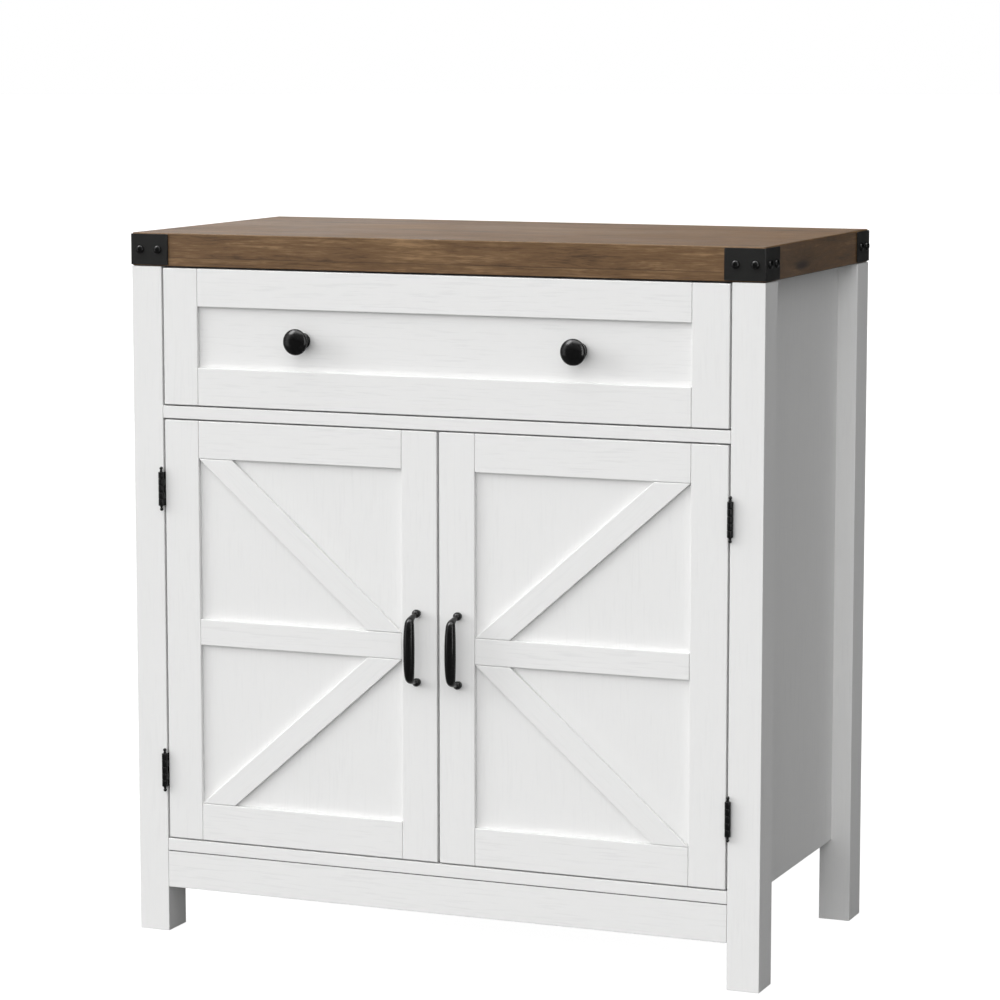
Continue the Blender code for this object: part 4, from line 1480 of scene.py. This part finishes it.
@dataclass
class BowHandle:
    """A bow handle: a swollen grip between two ball feet."""

    reach: float = 0.0255        # door face to the grip's centre line
    span: float = 0.082          # between the centres of the two feet
    grip_wide: float = 0.0070
    grip_deep: float = 0.0055
    arm_radius: float = 0.0027
    foot_radius: float = 0.0051
    bow: tuple = ((0.16, 1.0), (0.45, 0.957), (0.70, 0.908), (0.89, 0.842), (0.955, 0.71), (0.99, 0.40),
                  (1.0, 0.0))    # from a foot to the middle, as shares of reach and half span
    swell: tuple = (0.0, 0.08, 0.30, 0.58, 0.78, 0.95, 1.0)    # from the arm's round to the grip's oval
    sides: int = 32
    per_span: int = 5

    def build(self, side: Side, finishes: Finishes) -> list[Seat]:
        """Make the handle of one door.

        Args:
            side: which door.
            finishes: the finishes.

        Returns:
            The seats of its screws on the door's inner face.
        """
        door, node = f"door_{side.word}", f"door_{side.word}_handle"
        low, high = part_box(node)
        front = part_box(f"{door}_stile_latch")[0].y
        place = Vector(((low.x + high.x) / 2, front - TOUCH, (low.z + high.z) / 2))
        bow = shape_mesh(self._bow(place), f"{node}_bow")
        feet = []
        for sign in (-1, 1):
            foot = place + Vector((0, 0, sign * self.span / 2))
            feet.append(shape_mesh(turned(self._foot(), OUT, foot, 36), f"{node}_foot"))
        mesh = carve(f"{node}_bow", bow, feet, [], 40.0)
        add_piece(f"{door}_bow_handle", mesh, finishes.hardware, door, [node])
        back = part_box(f"{door}_panel")[1].y
        return [Seat((place.x, back, place.z + sign * self.span / 2), (0, 1, 0)) for sign in (-1, 1)]

    def _foot(self) -> list[Pair]:
        """Profile of a foot: a flat seat under a ball with a fine step."""
        ball = self.foot_radius
        profile = [(0.0, 0.0), (ball * 0.86, 0.0), (ball * 0.86, ball * 0.14)]
        profile += arc((0.0, ball * 0.8), ball, -34, 84, 12)
        return profile + [(0.0, ball * 1.8)]

    def _bow(self, place: Vector) -> Shape:
        """Sweep an oval along the bow."""
        half = self.span / 2
        knots = [(reach * self.reach, height * half, swell)
                 for (reach, height), swell in zip(self.bow, self.swell)]
        knots += [(reach, -height, swell) for reach, height, swell in reversed(knots[:-1])]
        line = smooth_path(knots, self.per_span)
        bm = bmesh.new()
        rings = []
        for index, (reach, height, swell) in enumerate(line):
            before, after = line[max(index - 1, 0)], line[min(index + 1, len(line) - 1)]
            tangent = Vector((0.0, before[0] - after[0], after[1] - before[1])).normalized()
            across = Vector((1.0, 0.0, 0.0))
            outward = tangent.cross(across)
            swell = min(1.0, max(0.0, swell))
            wide = self.arm_radius + (self.grip_wide - self.arm_radius) * swell
            deep = self.arm_radius + (self.grip_deep - self.arm_radius) * swell
            spot = place + Vector((0.0, -reach, height))
            angles = [math.tau * step / self.sides for step in range(self.sides)]
            rings.append([bm.verts.new(spot + across * wide * math.cos(a) + outward * deep * math.sin(a))
                          for a in angles])
        for first, second in zip(rings, rings[1:]):
            for step in range(self.sides):
                after_step = (step + 1) % self.sides
                bm.faces.new((first[step], first[after_step], second[after_step], second[step]))
        bm.faces.new(rings[0])
        bm.faces.new(rings[-1])
        return bm


@dataclass
class Door:
    """One cupboard door with its handle, hinges and strike plate."""

    side: Side
    brace_cut: float = 0.044
    screw: Head = Head(radius=0.0042, rim=0.0006, dome=0.0013, recess=Recess.CROSS,
                       recess_radius=0.0022, recess_depth=0.0011)
    strike: Pair = (0.0180, 0.0105)
    strike_metal: float = 0.0010
    strike_inset: float = 0.0015     # from the panel's inner edge
    strike_drop: float = 0.0010      # from the panel's top
    strike_corner: float = 0.0015
    strike_rim: float = 0.0002
    strike_gap: float = 0.00005      # left between the plate and the panel
    strike_hole: float = 0.0035      # its screw's place beside the plate's middle
    strike_screw: Head = Head(radius=0.0026, rim=0.0001, dome=0.0003, sink=0.0003, recess=Recess.CROSS,
                              recess_radius=0.0014, recess_depth=0.0003, sides=20)

    LEVEL = ("rail_top", "rail_mid", "rail_bottom")
    UPRIGHT = ("panel", "stile_hinge", "stile_latch")

    def build(self, finishes: Finishes, fasteners: Fasteners) -> None:
        """Finish the door's boards and make its fittings.

        Args:
            finishes: the finishes.
            fasteners: sets the screws.
        """
        body = f"door_{self.side.word}"
        dress([f"{body}_{piece}" for piece in self.LEVEL], finishes.level)
        dress([f"{body}_{piece}" for piece in self.UPRIGHT], finishes.upright)
        slopes = (finishes.falling, finishes.rising)
        if self.side is Side.RIGHT:
            slopes = slopes[::-1]
        dress([f"{body}_brace_upper"], slopes[0])
        dress([f"{body}_brace_lower"], slopes[1])
        bolts = BowHandle().build(self.side, finishes)
        fasteners.set_zinc(f"{body}_handle_screws", bolts, self.screw, body)
        seats: dict[str, list[Seat]] = {}
        hinge = Hinge()
        for level in ("upper", "lower"):
            for name, found in hinge.build(self.side, level, finishes).items():
                seats.setdefault(name, []).extend(found)
        for name, found in seats.items():
            fasteners.set_heads(f"{body}_hinge_screws_{'post' if name == 'cabinet' else 'door'}", found,
                                hinge.screw, finishes.hardware, name)
        self._strike(body, finishes, fasteners)

    def _strike(self, body: str, finishes: Finishes, fasteners: Fasteners) -> None:
        """A steel plate on the door's back for the catch to hold."""
        low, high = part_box(f"{body}_panel")
        inner = low.x if self.side is Side.RIGHT else high.x
        wide, tall = self.strike
        centre_x = inner + self.side.value * (self.strike_inset + wide / 2)
        top = high.z - self.strike_drop
        corners = (centre_x - wide / 2, top - tall), (centre_x + wide / 2, top)
        face = high.y + self.strike_metal
        outline = rounded(*corners, self.strike_corner)
        plate = pressed(outline, "Y", high.y + self.strike_gap, face, self.strike_rim)
        mesh = shape_mesh(plate, f"{body}_strike_plate")
        add_piece(f"{body}_strike_plate", mesh, finishes.zinc, body)
        seat = Seat((centre_x + self.side.value * self.strike_hole, face, top - tall / 2), (0, 1, 0))
        fasteners.set_zinc(f"{body}_strike_screw", [seat], self.strike_screw, body)


@dataclass
class Knob:
    """A turned knob: flange, neck and domed head."""

    radius: float = 0.0156
    reach: float = 0.0285
    base_radius: float = 0.0096
    neck_radius: float = 0.0055
    head_height: float = 0.0100
    rim_radius: float = 0.0032
    steps: int = 72

    def build(self, side: Side, finishes: Finishes) -> Seat:
        """Make one knob.

        Args:
            side: which knob.
            finishes: the finishes.

        Returns:
            The seat of its screw inside the drawer.
        """
        node = f"knob_{side.word}"
        low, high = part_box(node)
        foot = Vector(((low.x + high.x) / 2, high.y, (low.z + high.z) / 2))
        mesh = shape_mesh(turned(self._profile(), OUT, foot, self.steps), f"{node}_turned", 40.0)
        add_piece(f"{node}_turned", mesh, finishes.hardware, "drawer", [node])
        return Seat((foot.x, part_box("drawer_panel")[1].y, foot.z), (0, 1, 0))

    def _profile(self) -> list[Pair]:
        """The knob's turned profile, from the drawer outwards."""
        head_low, neck = self.reach - self.head_height, self.neck_radius
        profile = [(0.0, 0.0), (self.base_radius - 0.0004, 0.0)]
        profile += arc((self.base_radius - 0.0010, 0.0012), 0.0010, -60, 80, 6)
        flange = [(self.base_radius - 0.0014, 0.0026), (neck + 0.0018, 0.0045), (neck + 0.0004, 0.0070),
                  (neck, 0.0100), (neck + 0.0006, head_low - 0.0035), (neck + 0.0028, head_low - 0.0014),
                  (neck + 0.0060, head_low)]
        profile += [tuple(point) for point in smooth_path(flange, 3)]
        profile += arc((self.radius - self.rim_radius, head_low + 0.0036), self.rim_radius, -66, 49, 12)
        wide, low = profile[-1]
        for step in range(1, 18):
            share = 1 - step / 18
            profile.append((wide * share, low + (self.reach - low) * (1 - share ** 3)))
        return profile + [(0.0, self.reach)]


@dataclass
class Drawer:
    """The drawer: framed front, knobs, box and slides."""

    knob_screw: Head = Head(radius=0.0045, rim=0.0006, dome=0.0014, recess=Recess.CROSS,
                            recess_radius=0.0023, recess_depth=0.0012)
    slide_screw: Head = Head(radius=0.0034, rim=0.0003, dome=0.0010, recess=Recess.CROSS,
                             recess_radius=0.0018, recess_depth=0.0008, sides=20)
    slide_shares: tuple = (0.10, 0.47, 0.86)
    slide_metal: float = 0.0012
    ball_radius: float = 0.00135
    ball_pitch: float = 0.0075
    cage: Pair = (0.004, 0.080)      # the ball rows' ends behind the slide's front end
    cage_bar: tuple[float, float, float] = (0.0014, 0.003, 0.0003)    # cage past the balls' centres
    box_screw_lifts: tuple = (0.22, 0.78)

    def build(self, finishes: Finishes, fasteners: Fasteners) -> None:
        """Finish the drawer's boards and make its fittings.

        Args:
            finishes: the finishes.
            fasteners: sets the screws.
        """
        dress(["drawer_panel", "drawer_rail_top", "drawer_rail_bottom"], finishes.level)
        dress(["drawer_stile_left", "drawer_stile_right"], finishes.upright)
        dress(["drawer_side_left", "drawer_side_right", "drawer_back"], finishes.box_paper)
        dress(["drawer_bottom"], finishes.drawer_board)
        members = [f"slide_{part}_{side.word}" for part in ("cabinet", "drawer") for side in Side]
        dress(members, finishes.zinc)
        bolts = [Knob().build(side, finishes) for side in Side]
        fasteners.set_zinc("knob_screws", bolts, self.knob_screw, "drawer")
        self._slide_screws(fasteners)
        self._balls(finishes)
        self._box_screws(fasteners)

    def _slide_screws(self, fasteners: Fasteners) -> None:
        """Screws through the web of each slide member."""
        for part, body, inward in (("cabinet", "cabinet", True), ("drawer", "drawer", False)):
            seats = []
            for side in Side:
                low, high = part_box(f"slide_{part}_{side.word}")
                ends = sorted((abs(low.x), abs(high.x)))
                web = ends[1] - self.slide_metal if inward else ends[0] + self.slide_metal
                looks = -side.value if inward else side.value
                for share in self.slide_shares:
                    y = low.y + (high.y - low.y) * share
                    seats.append(Seat((side.value * web, y, (low.z + high.z) / 2), (looks, 0, 0)))
            fasteners.set_zinc(f"slide_{part}_screws", seats, self.slide_screw, body)

    def _balls(self, finishes: Finishes) -> None:
        """Two rows of balls in each slide, and the cage strips that hold them."""
        tree = BallRowTree().tree
        verts, edges = [], []
        for side in Side:
            low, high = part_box(f"slide_cabinet_{side.word}")
            inner_low, inner_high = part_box(f"slide_drawer_{side.word}")
            reach = max(abs(inner_low.x), abs(inner_high.x)) - self.slide_metal
            for level, edge in ((1, high.z - self.slide_metal), (-1, low.z + self.slide_metal)):
                inside = inner_high.z if level > 0 else inner_low.z
                lift = (edge + inside) / 2
                for end in self.cage:
                    verts.append((side.value * reach, low.y + end, lift))
                edges.append((len(verts) - 2, len(verts) - 1))
        carrier = bpy.data.meshes.new("rows")
        carrier.from_pydata(verts, edges, [])
        values = {"Ball Radius": self.ball_radius, "Pitch": self.ball_pitch, "Finish": finishes.zinc}
        mesh = grow("slide_balls", carrier, tree, values)
        add_piece("slide_balls", mesh, finishes.zinc, "cabinet")
        rows = [f"{level}_{side.word}" for side in Side for level in ("upper", "lower")]
        for row, (front, rear) in zip(rows, edges):
            low = [value - past for value, past in zip(verts[front], self.cage_bar)]
            high = [value + past for value, past in zip(verts[rear], self.cage_bar)]
            add_bar(f"slide_cage_{row}", low, high, 0.00012, finishes.zinc)

    def _box_screws(self, fasteners: Fasteners) -> None:
        """Screws through the box sides into its back."""
        back_low, back_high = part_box("drawer_back")
        y = (back_low.y + back_high.y) / 2
        seats = []
        for side in Side:
            low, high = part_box(f"drawer_side_{side.word}")
            outer = max(abs(low.x), abs(high.x))
            for share in self.box_screw_lifts:
                seats.append(Seat((side.value * outer, y, back_low.z + (back_high.z - back_low.z) * share),
                                  (side.value, 0, 0)))
        fasteners.set_zinc("drawer_box_screws", seats, self.slide_screw, "drawer")


@dataclass
class Catch:
    """A double magnetic catch: housing, magnets' steel faces and screws."""

    edge: float = 0.0012
    face_place: float = 0.0128       # a magnet's centre beside the catch's own
    face_wide: float = 0.0155
    face_tall: float = 0.0022
    face_deep: float = 0.0022
    face_proud: float = 0.0004
    face_lift: float = 0.0030        # a face's height above or below the middle
    pocket: tuple[float, float, float] = (0.0088, 0.0012, 0.0046)    # half width, depth, half height
    waist: Pair = (0.0035, 0.0045)   # half width and depth of the notch between the magnets
    screw_depth: float = 0.0098
    screw: Head = Head(radius=0.0030, rim=0.0003, dome=0.0010, recess=Recess.CROSS,
                       recess_radius=0.0016, recess_depth=0.0008, sides=20)

    def build(self, finishes: Finishes, fasteners: Fasteners) -> None:
        """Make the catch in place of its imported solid.

        Args:
            finishes: the finishes.
            fasteners: sets the screws.
        """
        low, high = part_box("magnetic_catch")
        body = shape_mesh(block(low, high, self.edge), "magnetic_catch_body")
        middle_z = (low.z + high.z) / 2
        half, deep = self.waist
        waist = block((-half, low.y - 0.002, low.z - 0.002), (half, low.y + deep, high.z + 0.002), 0.0008)
        pockets = [shape_mesh(waist, "waist")]
        half, deep, tall = self.pocket
        for side in Side:
            centre = side.value * self.face_place
            pocket = block((centre - half, low.y - 0.001, middle_z - tall),
                           (centre + half, low.y + deep, middle_z + tall), 0.0004)
            pockets.append(shape_mesh(pocket, "pocket"))
        mesh = carve("magnetic_catch_housing", body, [], pockets, 40.0)
        add_piece("magnetic_catch_housing", mesh, finishes.catch, "cabinet",
                  ["magnetic_catch"])
        for side in Side:
            centre = side.value * self.face_place
            for word, lift in (("upper", self.face_lift), ("lower", -self.face_lift)):
                z = middle_z + lift
                add_bar(f"magnetic_catch_{word}_{side.word}_steel",
                        (centre - self.face_wide / 2, low.y - self.face_proud, z - self.face_tall / 2),
                        (centre + self.face_wide / 2, low.y + self.face_deep, z + self.face_tall / 2),
                        0.0003, finishes.zinc)
        seats = [Seat((0.0, low.y + self.screw_depth, low.z), (0, 0, -1))]
        fasteners.set_zinc("magnetic_catch_screw", seats, self.screw, "cabinet")


def hang_light(name: str, data: bpy.types.Light, azimuth: float, elevation: float,
               away: float) -> bpy.types.Object:
    """Put a light in the scene, facing the middle of the floor.

    Args:
        name: the light's name.
        data: its own settings.
        azimuth: degrees from straight ahead of the front, positive towards +X.
        elevation: degrees above the floor.
        away: metres from the middle.

    Returns:
        The light.
    """
    obj = bpy.data.objects.new(name, data)
    bpy.context.scene.collection.objects.link(obj)
    turn, lift = math.radians(azimuth), math.radians(elevation)
    way = Vector((math.sin(turn) * math.cos(lift), -math.cos(turn) * math.cos(lift), math.sin(lift)))
    obj.location = way * away
    obj.rotation_euler = way.to_track_quat("Z", "Y").to_euler()
    return obj


@dataclass(frozen=True)
class Lamp:
    """A distant soft light."""

    name: str
    azimuth: float        # degrees from straight ahead of the front, positive towards +X
    elevation: float      # degrees above the floor
    spread: float         # degrees that it covers
    strength: float

    def hang(self) -> None:
        """Put the light in the scene."""
        data = bpy.data.lights.new(self.name, "SUN")
        data.energy = self.strength
        data.angle = math.radians(self.spread)
        obj = hang_light(self.name, data, self.azimuth, self.elevation, 3.0)
        obj.visible_glossy = False


@dataclass(frozen=True)
class Strip:
    """A tall lamp that stands on the floor and that only gloss shows."""

    name: str
    azimuth: float        # degrees from straight ahead of the front, positive towards +X
    away: float           # metres from the middle of the sideboard
    wide: float
    tall: float
    radiance: float
    lift: float = 0.01    # its lower edge above the floor

    def hang(self) -> None:
        """Put the lamp in the scene, facing the sideboard."""
        data = bpy.data.lights.new(self.name, "AREA")
        data.shape = "RECTANGLE"
        data.size, data.size_y = self.wide, self.tall
        data.energy = self.radiance * math.pi * self.wide * self.tall
        obj = hang_light(self.name, data, self.azimuth, 0.0, self.away)
        obj.location.z = self.tall / 2 + self.lift
        obj.visible_camera = obj.visible_diffuse = obj.visible_shadow = False


@dataclass(frozen=True)
class Panel:
    """A soft panel of the sky that only gloss shows, in degrees."""

    azimuth: float
    elevation: float
    wide: float
    tall: float
    blur: float
    strength: float

    def paint(self, bench: Bench, turn: Socket, lift: Socket) -> Socket:
        """Work out how bright the panel is in one direction.

        Args:
            bench: the sky's bench.
            turn: the direction's azimuth in radians.
            lift: its elevation in radians.

        Returns:
            The brightness.
        """
        shine: object = self.strength
        for value, middle, size in ((turn, self.azimuth, self.wide), (lift, self.elevation, self.tall)):
            away = bench.math("ABSOLUTE", bench.minus(value, math.radians(middle)))
            inner, outer = math.radians(size / 2 - self.blur), math.radians(size / 2 + self.blur)
            shine = bench.times(bench.fall(away, inner, outer), shine)
        return shine


@dataclass
class Studio:
    """Floor, soft light and camera."""

    camera_place: tuple = (1.6148, -3.9456, 1.0929)
    camera_turn: float = 0.3882       # about Z, from looking along +Y
    camera_dip: float = 0.1315        # below the level
    lens: float = 126.76              # in millimetres, on the sensor below
    sensor: float = 36.0
    far: float = 200.0                # where the camera's sight ends
    floor_reach: float = 60.0
    floor_drop: float = 0.0003        # below the feet
    floor_dark: Colour = (0.19, 0.19, 0.19)
    floor_light: Colour = (0.21, 0.21, 0.21)
    floor_roughness: float = 0.9
    floor_specular: float = 0.1
    floor_glow: float = 0.97          # added where the floor is seen
    sky: float = 0.40                 # the sky's light on matt surfaces
    backdrop: float = 0.95            # what gloss sees of the sky on the left, behind the sideboard
    dome: float = 0.50                # and ahead of the sideboard, above the horizon
    lamps: tuple = (
        Lamp("key", -65.0, 16.0, 24.0, 0.68),
        Lamp("front_softbox", -33.0, 26.0, 124.0, 2.98),
        Lamp("right_softbox", 8.0, 12.0, 26.0, 0.34),
    )
    strips: tuple = (
        Strip("left_strip", -54.0, 2.6, 1.20, 2.8, 1.5),
        Strip("right_strip", 48.0, 2.6, 0.55, 2.6, 6.0),
    )
    panels: tuple = (
        Panel(-52.0, 44.0, 28.0, 26.0, 3.0, 17.0),
        Panel(0.0, 66.0, 180.0, 34.0, 9.0, 6.0),
    )

    def build(self) -> None:
        """Make the whole studio."""
        self._floor()
        self._sky()
        for lamp in self.lamps + self.strips:
            lamp.hang()
        self._camera()
        bpy.context.scene.view_settings.view_transform = "Standard"

    def _floor(self) -> None:
        """A plain pale floor, just under the feet, clear when it is seen from below."""
        bm = bmesh.new()
        bmesh.ops.create_circle(bm, cap_ends=True, segments=96, radius=self.floor_reach,
                                matrix=Matrix.Translation((0.0, 0.0, -self.floor_drop)))
        mesh = bpy.data.meshes.new("floor")
        bm.to_mesh(mesh)
        bm.free()
        material = bpy.data.materials.new("floor_paint")
        material.use_nodes = True
        bench, nodes = Bench(material.node_tree), material.node_tree.nodes
        shader = nodes["Principled BSDF"].inputs
        cloud = bench.noise(bench.add("ShaderNodeTexCoord").outputs["Object"], 1.4, 3.0)
        bench.feed(shader["Base Color"], bench.blend(self.floor_dark, self.floor_light, cloud))
        shader["Roughness"].default_value = self.floor_roughness
        shader["Specular IOR Level"].default_value = self.floor_specular
        shader["Emission Color"].default_value = (1.0, 1.0, 1.0, 1.0)
        seen = bench.add("ShaderNodeLightPath").outputs["Is Camera Ray"]
        bench.feed(shader["Emission Strength"], bench.times(seen, self.floor_glow))
        below = bench.add("ShaderNodeNewGeometry").outputs["Backfacing"]
        clear = bench.add("ShaderNodeBsdfTransparent").outputs[0]
        paint = nodes["Principled BSDF"].outputs[0]
        sides = bench.add("ShaderNodeMixShader", {0: below, 1: paint, 2: clear})
        bench.feed(nodes["Material Output"].inputs["Surface"], sides.outputs[0])
        floor = link_mesh("floor", mesh)
        mesh.materials.append(material)

    def _sky(self) -> None:
        """An even sky: white where it is seen, softer as light."""
        world = bpy.data.worlds.new("studio")
        bpy.context.scene.world = world
        world.use_nodes = True
        bench = Bench(world.node_tree)
        sky = world.node_tree.nodes["Background"].inputs
        path = bench.add("ShaderNodeLightPath").outputs
        way = bench.split(bench.add("ShaderNodeTexCoord").outputs["Generated"])
        turn = bench.math("ARCTAN2", way[0], bench.times(way[1], -1.0))
        lift = bench.math("ARCSINE", way[2])
        behind = bench.times(bench.step(way[1], -0.25, 0.45), bench.fall(way[0], -0.48, -0.19))
        ahead = bench.times(bench.step(way[1], 0.10, -0.30), bench.step(way[2], -0.04, 0.22))
        panels = [panel.paint(bench, turn, lift) for panel in self.panels]
        shine = bench.plus(bench.times(behind, self.backdrop), bench.times(ahead, self.dome), *panels)
        light = bench.choose(path["Is Glossy Ray"], self.sky, shine)
        sky["Color"].default_value = (1.0, 1.0, 1.0, 1.0)
        bench.feed(sky["Strength"], bench.choose(path["Is Camera Ray"], light, 1.0))

    def _camera(self) -> None:
        """Set the camera."""
        data = bpy.data.cameras.new("camera")
        data.lens = self.lens
        data.sensor_width = self.sensor
        data.clip_end = self.far
        camera = bpy.data.objects.new("camera", data)
        bpy.context.scene.collection.objects.link(camera)
        camera.location = self.camera_place
        camera.rotation_euler = (math.pi / 2 - self.camera_dip, 0.0, self.camera_turn)
        bpy.context.scene.camera = camera


def main() -> None:
    """Build the studio and every sub-assembly."""
    logging.basicConfig(level=logging.INFO, format="%(name)s: %(message)s")
    Studio().build()
    finishes = build_finishes()
    fasteners = Fasteners(finishes.zinc)
    Worktop().build(finishes)
    Brackets().build(finishes, fasteners)
    Carcass().build(finishes, fasteners)
    for side in Side:
        Door(side).build(finishes, fasteners)
    Drawer().build(finishes, fasteners)
    Catch().build(finishes, fasteners)


if __name__ == "__main__":
    main()
